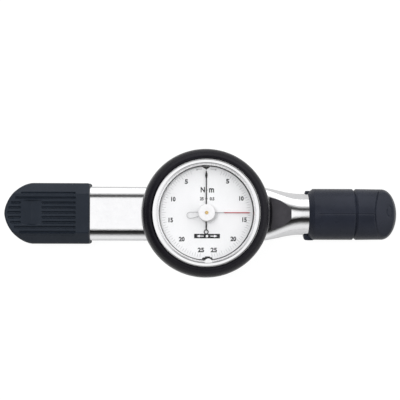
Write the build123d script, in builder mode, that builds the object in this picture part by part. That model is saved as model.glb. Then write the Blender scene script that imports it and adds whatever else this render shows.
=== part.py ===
from build123d import *
import math
import os

# Dial-indicating torque wrench, 25 N.m class, 3/8 inch square drive.
# Millimetres.  The origin is on the axis of the square drive, in the plane of
# the shoulder that a socket seats against.  +X runs towards the grip, +Z is the
# dial side.

os.makedirs("parts", exist_ok=True)

# ---------------------------------------------------------------- dimensions
# drive
drive_af = 9.53            # square drive across flats
drive_len = 11.0
shaft_r = 7.9              # journal radius
shaft_top = 19.8
bush_clear = 0.05          # radial running clearance

# flat-sided frame tube
tube_z = 11.5              # height of the tube's centre line
tube_w = 31.5              # across Y
tube_h = 13.8              # across Z
tube_corner = 6.3
tube_wall = 1.6
tube_x0 = 20.5             # head end
neck_x0 = 130.0            # start and end of the change to round
neck_x1 = 156.0
neck_r = 12.05
tube_x1 = 205.0            # grip end

# head
head_x0 = -16.2
head_x1 = 33.0
lower_x1 = 33.8            # the lower shell is a little longer
head_r = 17.7              # half width
cover_z0 = 0.6
cover_z1 = 23.0
cover_split = 11.5
cover_wall = 1.5

# dial
dial_x = 99.6              # distance from drive axis to dial axis
saddle_r = 27.0
saddle_top = 22.4
housing_r = 28.72
bezel_r = 30.4
guard_r = 36.6
face_z = 44.1              # top of the dial plate

# gearing: sector centred on the drive axis, pinion on the dial axis
gear_m = 0.3
pinion_teeth = 12
sector_teeth = 652         # teeth of the full circle that the sector is cut from
sector_cut = 7             # teeth kept each side of the centre tooth
pressure = math.radians(20.0)

# grip
grip_x0 = 160.3
grip_split = 187.6
grip_x1 = 212.6
grip_r = 15.0
grip_bore = 12.1
heel_x0 = 158.4


# ---------------------------------------------------------------- helpers
def across(x):
    """Plane normal to the wrench at x, local x along +Y and local y along +Z."""
    return Plane(origin=(x, 0, tube_z), x_dir=(0, 1, 0), z_dir=(1, 0, 0))


def blend_s(x):
    t = min(max((x - neck_x0) / (neck_x1 - neck_x0), 0.0), 1.0)
    return 0.5 * (1 + math.cos(math.pi * t))


def tube_section(x, inset):
    """Rounded-rectangle section of the tube at x, moved inwards by inset."""
    s = blend_s(x)
    half_w = neck_r + (tube_w / 2 - neck_r) * s - inset
    half_h = neck_r + (tube_h / 2 - neck_r) * s - inset
    corner = neck_r - 0.01 + (tube_corner - neck_r + 0.01) * s - inset
    with BuildSketch(across(x)) as section:
        RectangleRounded(2 * half_w, 2 * half_h, corner)
    return section.sketch


def tube_solid(x_from, x_to, inset):
    """Closed solid of the tube's outline: straight, changing neck, round."""
    cuts = [neck_x0 + (neck_x1 - neck_x0) * i / 8 for i in range(9)]
    with BuildPart() as solid:
        extrude(tube_section(neck_x0, inset), amount=neck_x0 - x_from, dir=(-1, 0, 0))
        if x_to > neck_x0:
            loft([tube_section(x, inset) for x in cuts])
        if x_to > neck_x1:
            extrude(tube_section(neck_x1, inset), amount=x_to - neck_x1, dir=(1, 0, 0))
    return solid.part


def involute(a):
    return math.tan(a) - a


def tooth_points(teeth, shift, thin, tip_cut, tip_steps=3, steps=6):
    """One tooth's right-to-left outline as (radius, half angle) about its centre."""
    r = gear_m * teeth / 2
    base = r * math.cos(pressure)
    tip = r + gear_m * (1 + shift) - tip_cut
    root = r - gear_m * (1.25 - shift)
    thick = gear_m * (math.pi / 2 + 2 * shift * math.tan(pressure)) - thin
    start = max(base, root)
    rows = []
    for i in range(steps + 1):
        rad = start + (tip - start) * i / steps
        a = math.acos(min(1.0, base / rad))
        rows.append((rad, thick / (2 * r) + involute(pressure) - involute(a)))
    if root < base:
        rows.insert(0, (root, rows[0][1] * 1.0))
    return rows, root


def gear_ring(teeth, shift, thin, centre, turn, count=None):
    """Outline points of a gear (or of some of its teeth) about centre."""
    rows, root = tooth_points(teeth, shift, thin, 0.0)
    pitch = 2 * math.pi / teeth
    wanted = range(teeth) if count is None else range(-count, count + 1)
    pts = []
    for k in wanted:
        mid = turn + k * pitch
        for rad, half in rows:
            pts.append((centre[0] + rad * math.cos(mid - half), centre[1] + rad * math.sin(mid - half)))
        for rad, half in reversed(rows):
            pts.append((centre[0] + rad * math.cos(mid + half), centre[1] + rad * math.sin(mid + half)))
    return pts


# ================================================================ HEAD
# The square, its shoulder, both journals and the slot that grips the beam and
# the transfer arm are one forging.
beam_w = 5.9
beam_z0 = 6.9
beam_z1 = 11.9
arm_z0 = 12.3
arm_z1 = 13.3
sector_z1 = 14.5

with BuildPart() as drive_shaft:
    with BuildSketch(Plane.XY.offset(-drive_len)):
        Rectangle(drive_af, drive_af)
    extrude(amount=drive_len)
    chamfer(drive_shaft.faces().sort_by(Axis.Z)[0].edges(), 0.9)
    fillet(drive_shaft.edges().filter_by(Axis.Z), 0.5)
    with BuildSketch(Plane.XY):
        Circle(shaft_r)
    extrude(amount=shaft_top)
    chamfer(drive_shaft.faces().sort_by(Axis.Z)[-1].edges(), 0.4)
    # slot for the beam and the arm, open towards the grip
    with BuildSketch(Plane.XY.offset(beam_z0)):
        with Locations(((-5.5 + 12.0) / 2, 0)):
            Rectangle(17.5, beam_w)
    extrude(amount=arm_z1 - beam_z0, mode=Mode.SUBTRACT)
    # groove for the retaining ring
    with BuildSketch(Plane.XY.offset(18.6)):
        Circle(shaft_r + 1)
        Circle(shaft_r - 0.8, mode=Mode.SUBTRACT)
    extrude(amount=0.7, mode=Mode.SUBTRACT)
    # dowel holes through the slot
    with BuildSketch(Plane.XY.offset(4.0)):
        with Locations((-3.0, 0), (4.0, 0)):
            Circle(1.02)
    extrude(amount=12.0, mode=Mode.SUBTRACT)
    # pocket for the detent ball and its spring
    with BuildSketch(Plane(origin=(0, drive_af / 2 + 1, -5.6), z_dir=(0, -1, 0))):
        Circle(1.25)
    extrude(amount=1 + 4.2, mode=Mode.SUBTRACT)
drive_shaft.part.label = "drive_shaft"
export_step(drive_shaft.part, "parts/drive_shaft.step")

ball_r = 1.2
ball_y = drive_af / 2 - 0.55
with BuildPart() as detent_ball:
    with Locations((0, ball_y, -5.6)):
        Sphere(ball_r)
detent_ball.part.label = "detent_ball"
export_step(detent_ball.part, "parts/detent_ball.step")

spring_y0 = drive_af / 2 - 4.2 + 0.2
spring_len = ball_y - ball_r - spring_y0 - 0.18
with BuildPart() as detent_spring:
    with BuildLine() as coil:
        Helix(pitch=spring_len / 4, height=spring_len, radius=0.85, center=(0, spring_y0, -5.6), direction=(0, 1, 0))
    with BuildSketch(Plane(origin=coil.line @ 0, z_dir=coil.line % 0)):
        Circle(0.13)
    sweep(is_frenet=True)
detent_spring.part.label = "detent_spring"
export_step(detent_spring.part, "parts/detent_spring.step")

# Steel head body: round end, bore for the bushes, tongue into the tube.
block_z0 = 2.1
block_z1 = 18.4
bush_or = 9.5
with BuildPart() as head_block:
    with BuildSketch(Plane.XY.offset(block_z0)):
        Circle(13.9)
        with Locations((10.1, 0)):
            Rectangle(20.2, 30.0)
    extrude(amount=block_z1 - block_z0)
    # long edges cut back to clear the sloping shoulders of the cover shells
    with BuildSketch(Plane(origin=(-20, 0, 0), x_dir=(0, 1, 0), z_dir=(1, 0, 0))):
        with BuildLine():
            Polyline(
                (-12.2, block_z1), (12.2, block_z1), (15.1, 15.9), (15.1, 6.3), (11.3, block_z0),
                (-11.3, block_z0), (-15.1, 6.3), (-15.1, 15.9), close=True,
            )
        make_face()
    extrude(amount=60, mode=Mode.INTERSECT)
    with BuildSketch(across(20.2)):
        RectangleRounded(28.2, 10.5, 4.6)
    extrude(amount=24.0)
    # bore for the bushes
    with BuildSketch(Plane.XY.offset(block_z0 - 1)):
        Circle(bush_or + 0.02)
    extrude(amount=30, mode=Mode.SUBTRACT)
    # space for the beam and the swinging arm
    with BuildSketch(Plane.XY.offset(6.2)):
        Circle(10.5)
        with Locations((24.0, 0)):
            Rectangle(48.0, 21.0)
    extrude(amount=8.2, mode=Mode.SUBTRACT)
    # tube pins, one each side
    with BuildSketch(Plane.XY.offset(0)):
        with Locations((26.5, 12.3), (26.5, -12.3)):
            Circle(1.25)
    extrude(amount=24, mode=Mode.SUBTRACT)
    # threads for the cover screws
    with BuildSketch(Plane.XY.offset(block_z0 - 1)):
        with Locations((-8.2, 8.2), (-8.2, -8.2), (14.5, 9.2), (14.5, -9.2)):
            Circle(1.15)
    extrude(amount=5.0, mode=Mode.SUBTRACT)
head_block.part.label = "head_block"
export_step(head_block.part, "parts/head_block.step")

with BuildPart() as lower_bush:
    with BuildSketch(Plane.XY.offset(block_z0)):
        Circle(bush_or)
        Circle(shaft_r + bush_clear, mode=Mode.SUBTRACT)
    extrude(amount=4.0)
lower_bush.part.label = "lower_bush"
export_step(lower_bush.part, "parts/lower_bush.step")

with BuildPart() as upper_bush:
    with BuildSketch(Plane.XY.offset(14.5)):
        Circle(bush_or)
        Circle(shaft_r + bush_clear, mode=Mode.SUBTRACT)
    extrude(amount=3.9)
upper_bush.part.label = "upper_bush"
export_step(upper_bush.part, "parts/upper_bush.step")

with BuildPart() as shaft_retaining_ring:
    with BuildSketch(Plane.XY.offset(18.63)):
        Circle(9.3)
        Circle(shaft_r - 0.75, mode=Mode.SUBTRACT)
        with Locations((-8.5, 0)):
            Rectangle(4.0, 3.0, mode=Mode.SUBTRACT)
    extrude(amount=0.63)
shaft_retaining_ring.part.label = "shaft_retaining_ring"
export_step(shaft_retaining_ring.part, "parts/shaft_retaining_ring.step")

with BuildPart() as head_pins:
    with BuildSketch(Plane.XY.offset(5.8)):
        with Locations((26.5, 12.3), (26.5, -12.3)):
            Circle(1.22)
    extrude(amount=11.4)
head_pins.part.label = "head_pins"
export_step(head_pins.part, "parts/head_pins.step")


# Cover shells.  One outline for both: flat top and bottom, sloping shoulders
# along the two long sides, round nose.
def nose_x(y, inset=0.0):
    """Front of the shells at y: rounder than a circle at the shoulders."""
    half = head_r - inset
    return (head_x0 + inset) * max(1 - (abs(y) / half) ** 1.7, 0.0) ** (1 / 1.8)


def head_outline_solid(inset, z_low, z_high, shoulder, x_end):
    x1 = x_end - inset
    half_y = head_r - inset
    turns = [math.radians(a) for a in (-90, -84, -76, -66, -54, -40, -24, -8, 8, 24, 40, 54, 66, 76, 84, 90)]
    front = [(nose_x(half_y * math.sin(a), inset), half_y * math.sin(a)) for a in turns]
    with BuildPart() as solid:
        with BuildSketch(Plane.XY.offset(z_low)) as plan:
            with BuildLine():
                curve = Spline(*front, tangents=[(-1, 0), (1, 0)])
                Polyline(curve @ 1, (x1, half_y), (x1, -half_y), curve @ 0)
            make_face()
            if not inset:
                fillet(plan.vertices().group_by(Axis.X)[-1], radius=1.2)
        extrude(amount=z_high - z_low)
        half = head_r - inset + 0.2
        with BuildSketch(Plane(origin=(head_x0 - 5, 0, 0), x_dir=(0, 1, 0), z_dir=(1, 0, 0))):
            with BuildLine():
                Polyline(
                    (-11.3 + inset * 0.4, z_high),
                    (11.3 - inset * 0.4, z_high),
                    (half, z_high - shoulder),
                    (half, z_low + shoulder),
                    (12.4 - inset * 0.4, z_low),
                    (-12.4 + inset * 0.4, z_low),
                    (-half, z_low + shoulder),
                    (-half, z_high - shoulder),
                    close=True,
                )
            make_face()
        extrude(amount=x_end - head_x0 + 10, mode=Mode.INTERSECT)
    return solid.part


cover_outer = head_outline_solid(0, cover_z0, cover_z1, 6.6, head_x1)
cover_inner = head_outline_solid(cover_wall, cover_z0 + cover_wall, 20.35, 5.2, head_x1)
lower_outer = head_outline_solid(0, cover_z0, cover_z1, 6.6, lower_x1)
tube_gap = tube_solid(tube_x0 - 6, 120.0, -0.08)

groove_y = 0.3             # middle groove
groove_w = 1.0
groove_d = 1.0
groove_pitch = 2.82
groove_x1 = 24.8

with BuildPart() as head_cover_upper:
    add(cover_outer)
    add(cover_inner, mode=Mode.SUBTRACT)
    with BuildSketch(Plane.XY.offset(-5)):
        Rectangle(120, 60)
    extrude(amount=cover_split + 0.03 + 5, mode=Mode.SUBTRACT)
    add(tube_gap, mode=Mode.SUBTRACT)
    # finger grooves along the flat top
    with BuildSketch(Plane.XY.offset(cover_z1 - groove_d)):
        for k in range(9):
            y = groove_y + (k - 4) * groove_pitch
            x_left = nose_x(y) + 1.9 + 0.02 * y * y
            with Locations(((x_left + groove_x1) / 2, y)):
                Rectangle(groove_x1 - x_left, groove_w)
    extrude(amount=groove_d + 1, mode=Mode.SUBTRACT)
    # shallow thumb scoop over the drive axis
    with BuildSketch(Plane(origin=(0, 0.4, 0), x_dir=(1, 0, 0), z_dir=(0, -1, 0))):
        with BuildLine():
            Polyline((-7.2, 24.0), (-7.2, 23.0), (-1.4, 21.75), (0.1, 21.75), (6.0, 23.0), (6.0, 24.0), close=True)
        make_face()
    extrude(amount=7.2, both=True, mode=Mode.SUBTRACT)
head_cover_upper.part.label = "head_cover_upper"
export_step(head_cover_upper.part, "parts/head_cover_upper.step")

with BuildPart() as head_cover_lower:
    add(lower_outer)
    add(cover_inner, mode=Mode.SUBTRACT)
    with BuildSketch(Plane.XY.offset(cover_split - 0.03)):
        Rectangle(120, 60)
    extrude(amount=20, mode=Mode.SUBTRACT)
    add(tube_gap, mode=Mode.SUBTRACT)
    with BuildSketch(Plane.XY.offset(-2)):
        Circle(shaft_r + 1.3)
    extrude(amount=8, mode=Mode.SUBTRACT)
    with Locations(Plane.XY.offset(cover_z0).rotated((180, 0, 0))):
        with Locations((-8.2, 8.2), (-8.2, -8.2), (14.5, 9.2), (14.5, -9.2)):
            CounterSinkHole(radius=1.3, counter_sink_radius=2.4, depth=4)
head_cover_lower.part.label = "head_cover_lower"
export_step(head_cover_lower.part, "parts/head_cover_lower.step")

with BuildPart() as cover_screws:
    for x, y in ((-8.2, 8.2), (-8.2, -8.2), (14.5, 9.2), (14.5, -9.2)):
        with BuildSketch(Plane(origin=(x, y, cover_z0), x_dir=(1, 0, 0), z_dir=(0, -1, 0))):
            with BuildLine():
                Polyline((0, 0.15), (2.25, 0.15), (1.1, 1.3), (1.1, 5.0), (0, 5.0), close=True)
            make_face()
        revolve(axis=Axis((x, y, 0), (0, 0, 1)))
    with BuildSketch(Plane.XY.offset(cover_z0)):
        for x, y in ((-8.2, 8.2), (-8.2, -8.2), (14.5, 9.2), (14.5, -9.2)):
            with Locations((x, y)):
                Rectangle(2.4, 0.5)
                Rectangle(0.5, 2.4)
    extrude(amount=0.75, mode=Mode.SUBTRACT)
cover_screws.part.label = "cover_screws"
export_step(cover_screws.part, "parts/cover_screws.step")

# ================================================================ FRAME TUBE
saddle_screw_at = [(dial_x + 14, 6.5), (dial_x + 14, -6.5), (dial_x - 14, 6.5), (dial_x - 14, -6.5)]

with BuildPart() as frame_tube:
    add(tube_solid(tube_x0, tube_x1, 0.0))
    add(tube_solid(tube_x0 - 1, tube_x1 + 1, tube_wall), mode=Mode.SUBTRACT)
    # window for the pointer arbor and tapped holes for the dial
    with BuildSketch(Plane.XY.offset(tube_z + 2)):
        with Locations((dial_x, 0)):
            Circle(4.0)
        with Locations(*saddle_screw_at):
            Circle(1.3)
    extrude(amount=10, mode=Mode.SUBTRACT)
    # head pins
    with BuildSketch(Plane.XY):
        with Locations((26.5, 12.3), (26.5, -12.3)):
            Circle(1.25)
    extrude(amount=24, mode=Mode.SUBTRACT)
    # anvil screw and grip screws come in from below
    with BuildSketch(Plane.XY.offset(-4)):
        with Locations((163.0, 0), (175.0, 0), (197.5, 0)):
            Circle(1.55)
    extrude(amount=10, mode=Mode.SUBTRACT)
frame_tube.part.label = "frame_tube"
export_step(frame_tube.part, "parts/frame_tube.step")

# ================================================================ MEASURING TRAIN
beam_x1 = 163.8
with BuildPart() as measuring_beam:
    with BuildSketch(Plane.XY.offset(beam_z0)):
        with Locations(((beam_x1 - 5.4) / 2, 0)):
            Rectangle(beam_x1 + 5.4, beam_w - 0.04)
    extrude(amount=beam_z1 - beam_z0)
    with BuildSketch(Plane.XY.offset(beam_z0)):
        with Locations((-3.0, 0), (4.0, 0)):
            Circle(1.02)
    extrude(amount=8, mode=Mode.SUBTRACT)
measuring_beam.part.label = "measuring_beam"
export_step(measuring_beam.part, "parts/measuring_beam.step")

with BuildPart() as beam_dowels:
    with BuildSketch(Plane.XY.offset(4.1)):
        with Locations((-3.0, 0), (4.0, 0)):
            Circle(1.0)
    extrude(amount=11.7)
beam_dowels.part.label = "beam_dowels"
export_step(beam_dowels.part, "parts/beam_dowels.step")

# thin arm that carries the drive shaft's angle out to the sector
with BuildPart() as transfer_arm:
    with BuildSketch(Plane.XY.offset(arm_z0)):
        with BuildLine():
            Polyline(
                (-5.4, -beam_w / 2 + 0.03), (12.0, -beam_w / 2 + 0.03), (84.0, -3.2), (88.0, -6.2), (94.5, -6.6),
                (94.5, 6.6), (88.0, 6.2), (84.0, 3.2), (12.0, beam_w / 2 - 0.03), (-5.4, beam_w / 2 - 0.03),
                close=True,
            )
        make_face()
        with Locations((-3.0, 0), (4.0, 0)):
            Circle(1.02, mode=Mode.SUBTRACT)
        with Locations((91.5, 4.4), (91.5, -4.4)):
            Circle(0.85, mode=Mode.SUBTRACT)
        with Locations((30.0, 0), (45.0, 0), (60.0, 0), (75.0, 0)):
            SlotOverall(9.0, 2.4, mode=Mode.SUBTRACT)
    extrude(amount=arm_z1 - arm_z0)
transfer_arm.part.label = "transfer_arm"
export_step(transfer_arm.part, "parts/transfer_arm.step")

sector_pts = gear_ring(sector_teeth, -0.3, 0.05, (0, 0), 0.0, sector_cut)
sector_half = (sector_cut + 0.5) * 2 * math.pi / sector_teeth
inner_r = 89.0
with BuildPart() as sector_gear:
    with BuildSketch(Plane.XY.offset(arm_z1)):
        with BuildLine():
            Polyline(
                (inner_r * math.cos(sector_half), -inner_r * math.sin(sector_half)),
                *sector_pts,
                (inner_r * math.cos(sector_half), inner_r * math.sin(sector_half)),
                close=True,
            )
        make_face()
        with Locations((91.5, 4.4), (91.5, -4.4)):
            Circle(0.85, mode=Mode.SUBTRACT)
    extrude(amount=sector_z1 - arm_z1)
sector_gear.part.label = "sector_gear"
export_step(sector_gear.part, "parts/sector_gear.step")

with BuildPart() as sector_rivets:
    with BuildSketch(Plane.XY.offset(arm_z0)):
        with Locations((91.5, 4.4), (91.5, -4.4)):
            Circle(0.82)
    extrude(amount=sector_z1 - arm_z0)
    with BuildSketch(Plane.XY.offset(sector_z1)):
        with Locations((91.5, 4.4), (91.5, -4.4)):
            Circle(1.4)
    extrude(amount=0.4)
    with BuildSketch(Plane.XY.offset(arm_z0 - 0.3)):
        with Locations((91.5, 4.4), (91.5, -4.4)):
            Circle(1.3)
    extrude(amount=0.3)
sector_rivets.part.label = "sector_rivets"
export_step(sector_rivets.part, "parts/sector_rivets.step")

# anvil that the beam's free end pushes against
with BuildPart() as anvil_block:
    with BuildSketch(across(157.5)):
        Circle(neck_r - tube_wall - 0.06)
    extrude(amount=9.0)
    with BuildSketch(Plane.XY.offset(6.3)):
        with Locations((162.0, 0)):
            Rectangle(14.0, 6.9)
    extrude(amount=6.2, mode=Mode.SUBTRACT)
    with BuildSketch(Plane.XY):
        with Locations((161.0, 4.46), (161.0, -4.46)):
            Circle(1.52)
    extrude(amount=16.0, mode=Mode.SUBTRACT)
    with BuildSketch(Plane.XY.offset(-4)):
        with Locations((163.0, 0)):
            Circle(1.52)
    extrude(amount=9.2, mode=Mode.SUBTRACT)
anvil_block.part.label = "anvil_block"
export_step(anvil_block.part, "parts/anvil_block.step")

with BuildPart() as anvil_pins:
    with BuildSketch(Plane.XY.offset(3.0)):
        with Locations((161.0, 4.46), (161.0, -4.46)):
            Circle(1.49)
    extrude(amount=12.9)
anvil_pins.part.label = "anvil_pins"
export_step(anvil_pins.part, "parts/anvil_pins.step")

with BuildPart() as anvil_screw:
    with BuildSketch(Plane.XY.offset(-0.5)):
        with Locations((163.0, 0)):
            Circle(1.49)
    extrude(amount=5.5)
    with BuildSketch(Plane.XY.offset(-0.5)):
        with Locations((163.0, 0)):
            RegularPolygon(0.75, 6)
    extrude(amount=1.6, mode=Mode.SUBTRACT)
anvil_screw.part.label = "anvil_screw"
export_step(anvil_screw.part, "parts/anvil_screw.step")

# ================================================================ DIAL BASE
with BuildPart() as dial_saddle:
    with BuildSketch(Plane.XY.offset(13.0)):
        with Locations((dial_x, 0)):
            Circle(saddle_r)
    extrude(amount=saddle_top - 13.0)
    add(tube_solid(tube_x0, 120.0, -0.05), mode=Mode.SUBTRACT)
    chamfer(dial_saddle.faces().sort_by(Axis.Z)[0].edges().filter_by(GeomType.CIRCLE), 1.0)
    with BuildSketch(Plane.XY.offset(12)):
        with Locations((dial_x, 0)):
            Circle(2.62)
        with Locations(*saddle_screw_at):
            Circle(1.3)
    extrude(amount=12, mode=Mode.SUBTRACT)
dial_saddle.part.label = "dial_saddle"
export_step(dial_saddle.part, "parts/dial_saddle.step")

pillar_r = 21.5
pillar_at = [(dial_x + pillar_r * math.cos(math.radians(a)), pillar_r * math.sin(math.radians(a))) for a in (90, 210, 330)]
post_at = [(dial_x + 11, 0), (dial_x - 11, 0)]
wire_z = 39.6

with BuildPart() as dial_housing:
    with BuildSketch(Plane.XY.offset(saddle_top)):
        with Locations((dial_x, 0)):
            Circle(housing_r)
    extrude(amount=42.8 - saddle_top)
    chamfer(dial_housing.faces().sort_by(Axis.Z)[0].edges(), 0.8)
    with BuildSketch(Plane.XY.offset(saddle_top + 1.6)):
        with Locations((dial_x, 0)):
            Circle(housing_r - 2.0)
    extrude(amount=30, mode=Mode.SUBTRACT)
    with BuildSketch(Plane.XY.offset(saddle_top - 1)):
        with Locations((dial_x, 0)):
            Circle(2.62)
        with Locations(*saddle_screw_at):
            Circle(1.3)
        with Locations(*pillar_at):
            Circle(1.05)
    extrude(amount=5, mode=Mode.SUBTRACT)
    with Locations((dial_x, 0, wire_z)):
        Torus(housing_r, 0.45, mode=Mode.SUBTRACT)
dial_housing.part.label = "dial_housing"
export_step(dial_housing.part, "parts/dial_housing.step")

with BuildPart() as housing_screws:
    with BuildSketch(Plane.XY.offset(17.2)):
        with Locations(*saddle_screw_at):
            Circle(1.25)
    extrude(amount=24.0 - 17.2)
    with BuildSketch(Plane.XY.offset(24.0)):
        with Locations(*saddle_screw_at):
            Circle(2.3)
    extrude(amount=1.5)
    with BuildSketch(Plane.XY.offset(24.7)):
        with Locations(*saddle_screw_at):
            Rectangle(5.0, 0.6)
    extrude(amount=2, mode=Mode.SUBTRACT)
housing_screws.part.label = "housing_screws"
export_step(housing_screws.part, "parts/housing_screws.step")

arbor_r = 1.0
with BuildPart() as arbor_bush:
    with BuildSketch(Plane.XY.offset(15.1)):
        with Locations((dial_x, 0)):
            Circle(2.6)
            Circle(arbor_r + 0.04, mode=Mode.SUBTRACT)
    extrude(amount=24.05 - 15.1)
    with BuildSketch(Plane.XY.offset(24.05)):
        with Locations((dial_x, 0)):
            Circle(4.0)
            Circle(arbor_r + 0.04, mode=Mode.SUBTRACT)
    extrude(amount=1.0)
arbor_bush.part.label = "arbor_bush"
export_step(arbor_bush.part, "parts/arbor_bush.step")

plate_z0 = 34.0
plate_z1 = 35.5
with BuildPart() as movement_pillars:
    with BuildSketch(Plane.XY.offset(24.0)):
        with Locations(*pillar_at):
            Circle(2.0)
    extrude(amount=plate_z0 - 24.0)
    with BuildSketch(Plane.XY.offset(22.8)):
        with Locations(*pillar_at):
            Circle(1.0)
    extrude(amount=1.2)
    with BuildSketch(Plane.XY.offset(30.0)):
        with Locations(*pillar_at):
            Circle(0.85)
    extrude(amount=8, mode=Mode.SUBTRACT)
movement_pillars.part.label = "movement_pillars"
export_step(movement_pillars.part, "parts/movement_pillars.step")

with BuildPart() as movement_plate:
    with BuildSketch(Plane.XY.offset(plate_z0)):
        with Locations((dial_x, 0)):
            Circle(24.5)
            Circle(arbor_r + 0.04, mode=Mode.SUBTRACT)
        with Locations(*pillar_at):
            Circle(0.9, mode=Mode.SUBTRACT)
        with Locations(*post_at):
            Circle(0.9, mode=Mode.SUBTRACT)
        with Locations((dial_x, 15.0)):
            Circle(1.2, mode=Mode.SUBTRACT)
    extrude(amount=plate_z1 - plate_z0)
movement_plate.part.label = "movement_plate"
export_step(movement_plate.part, "parts/movement_plate.step")

with BuildPart() as plate_screws:
    with BuildSketch(Plane.XY.offset(31.0)):
        with Locations(*pillar_at):
            Circle(0.8)
    extrude(amount=plate_z1 - 31.0)
    with BuildSketch(Plane.XY.offset(plate_z1)):
        with Locations(*pillar_at):
            Circle(1.7)
    extrude(amount=1.0)
    with BuildSketch(Plane.XY.offset(plate_z1 + 0.5)):
        with Locations(*pillar_at):
            Rectangle(4.0, 0.4)
    extrude(amount=1, mode=Mode.SUBTRACT)
plate_screws.part.label = "plate_screws"
export_step(plate_screws.part, "parts/plate_screws.step")

bridge_z0 = 39.0
bridge_z1 = 40.2
with BuildPart() as bridge_posts:
    with BuildSketch(Plane.XY.offset(plate_z1)):
        with Locations(*post_at):
            Circle(1.8)
    extrude(amount=bridge_z0 - plate_z1)
    with BuildSketch(Plane.XY.offset(plate_z0 + 0.1)):
        with Locations(*post_at):
            Circle(0.87)
    extrude(amount=plate_z1 - plate_z0 - 0.1)
    with BuildSketch(Plane.XY.offset(36.5)):
        with Locations(*post_at):
            Circle(0.7)
    extrude(amount=5, mode=Mode.SUBTRACT)
bridge_posts.part.label = "bridge_posts"
export_step(bridge_posts.part, "parts/bridge_posts.step")

with BuildPart() as movement_bridge:
    with BuildSketch(Plane.XY.offset(bridge_z0)):
        with Locations((dial_x, 0)):
            SlotOverall(27.0, 5.6)
            Circle(4.2)
            Circle(arbor_r + 0.04, mode=Mode.SUBTRACT)
        with Locations(*post_at):
            Circle(0.75, mode=Mode.SUBTRACT)
    extrude(amount=bridge_z1 - bridge_z0)
movement_bridge.part.label = "movement_bridge"
export_step(movement_bridge.part, "parts/movement_bridge.step")

with BuildPart() as bridge_screws:
    with BuildSketch(Plane.XY.offset(37.0)):
        with Locations(*post_at):
            Circle(0.65)
    extrude(amount=bridge_z1 - 37.0)
    with BuildSketch(Plane.XY.offset(bridge_z1)):
        with Locations(*post_at):
            Circle(1.5)
    extrude(amount=0.9)
    with BuildSketch(Plane.XY.offset(bridge_z1 + 0.45)):
        with Locations(*post_at):
            Rectangle(0.4, 4.0)
    extrude(amount=1, mode=Mode.SUBTRACT)
bridge_screws.part.label = "bridge_screws"
export_step(bridge_screws.part, "parts/bridge_screws.step")

# ================================================================ POINTER TRAIN
pointer_z = 44.85
pinion_pts = gear_ring(pinion_teeth, 0.3, 0.05, (dial_x, 0), math.radians(15.0))
with BuildPart() as pointer_arbor:
    with BuildSketch(Plane.XY.offset(13.2)):
        with BuildLine():
            Polyline(*pinion_pts, close=True)
        make_face()
    extrude(amount=1.5)
    with BuildSketch(Plane.XY.offset(14.7)):
        with Locations((dial_x, 0)):
            Circle(arbor_r)
    extrude(amount=44.5 - 14.7)
    with BuildSketch(Plane.XY.offset(44.5)):
        with Locations((dial_x, 0)):
            Circle(0.6)
    extrude(amount=0.9)
pointer_arbor.part.label = "pointer_arbor"
export_step(pointer_arbor.part, "parts/pointer_arbor.step")

spring_z0 = 37.0
with BuildPart() as hairspring_collet:
    with BuildSketch(Plane.XY.offset(spring_z0 - 0.3)):
        with Locations((dial_x, 0)):
            Circle(2.1)
            Circle(arbor_r + 0.01, mode=Mode.SUBTRACT)
    extrude(amount=1.4)
hairspring_collet.part.label = "hairspring_collet"
export_step(hairspring_collet.part, "parts/hairspring_collet.step")


# flat spiral strip from the collet out to its stud
def spiral(offset, turns=4.25, r0=2.22, r1=7.9, steps=68):
    pts = []
    for i in range(steps + 1):
        a = 2 * math.pi * turns * i / steps
        r = r0 + (r1 - r0) * i / steps + offset
        pts.append((dial_x + r * math.cos(a), r * math.sin(a)))
    return pts


with BuildPart() as hairspring:
    with BuildSketch(Plane.XY.offset(spring_z0)):
        with BuildLine():
            outer = Spline(*spiral(0.09))
            inner = Spline(*spiral(-0.09))
            Line(outer @ 0, inner @ 0)
            Line(outer @ 1, inner @ 1)
        make_face()
    extrude(amount=0.8)
hairspring.part.label = "hairspring"
export_step(hairspring.part, "parts/hairspring.step")

with BuildPart() as hairspring_stud:
    with BuildSketch(Plane.XY.offset(plate_z1)):
        with Locations((dial_x, 9.1)):
            Rectangle(2.2, 2.0)
    extrude(amount=2.9)
hairspring_stud.part.label = "hairspring_stud"
export_step(hairspring_stud.part, "parts/hairspring_stud.step")

# black hand: lance with a lozenge near the tip, counterweight tail with a ring
with BuildPart() as pointer:
    with BuildSketch(Plane.XY.offset(pointer_z)):
        with BuildLine():
            Polyline(
                (dial_x - 0.38, 1.0), (dial_x - 0.27, 19.1), (dial_x - 0.64, 21.0), (dial_x - 0.55, 22.2),
                (dial_x - 0.12, 23.9), (dial_x + 0.12, 23.9), (dial_x + 0.55, 22.2), (dial_x + 0.64, 21.0),
                (dial_x + 0.27, 19.1), (dial_x + 0.38, 1.0), close=True,
            )
        make_face()
        with Locations((dial_x, -5.3)):
            Rectangle(0.8, 8.6)
        with Locations((dial_x, -10.7)):
            Circle(1.4)
            Circle(0.85, mode=Mode.SUBTRACT)
        with Locations((dial_x, 0)):
            Circle(1.9)
            Circle(0.64, mode=Mode.SUBTRACT)
    extrude(amount=0.25)
pointer.part.label = "pointer"
export_step(pointer.part, "parts/pointer.step")

with BuildPart() as pointer_hub:
    with BuildSketch(Plane.XY.offset(pointer_z + 0.25)):
        with Locations((dial_x, 0)):
            Circle(1.4)
            Circle(0.62, mode=Mode.SUBTRACT)
    extrude(amount=0.35)
pointer_hub.part.label = "pointer_hub"
export_step(pointer_hub.part, "parts/pointer_hub.step")

# ================================================================ BEZEL GROUP
# Chrome ring.  Profile in the plane through the dial axis; radius, height.
dial_axis = Axis((dial_x, 0, 0), (0, 0, 1))
dial_plane = Plane(origin=(dial_x, 0, 0), x_dir=(1, 0, 0), z_dir=(0, -1, 0))

# seat in the inner rim for the round button at 6 o'clock
button_x, button_y, button_r, button_z = 1.15, -27.6, 2.06, 48.0

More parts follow.
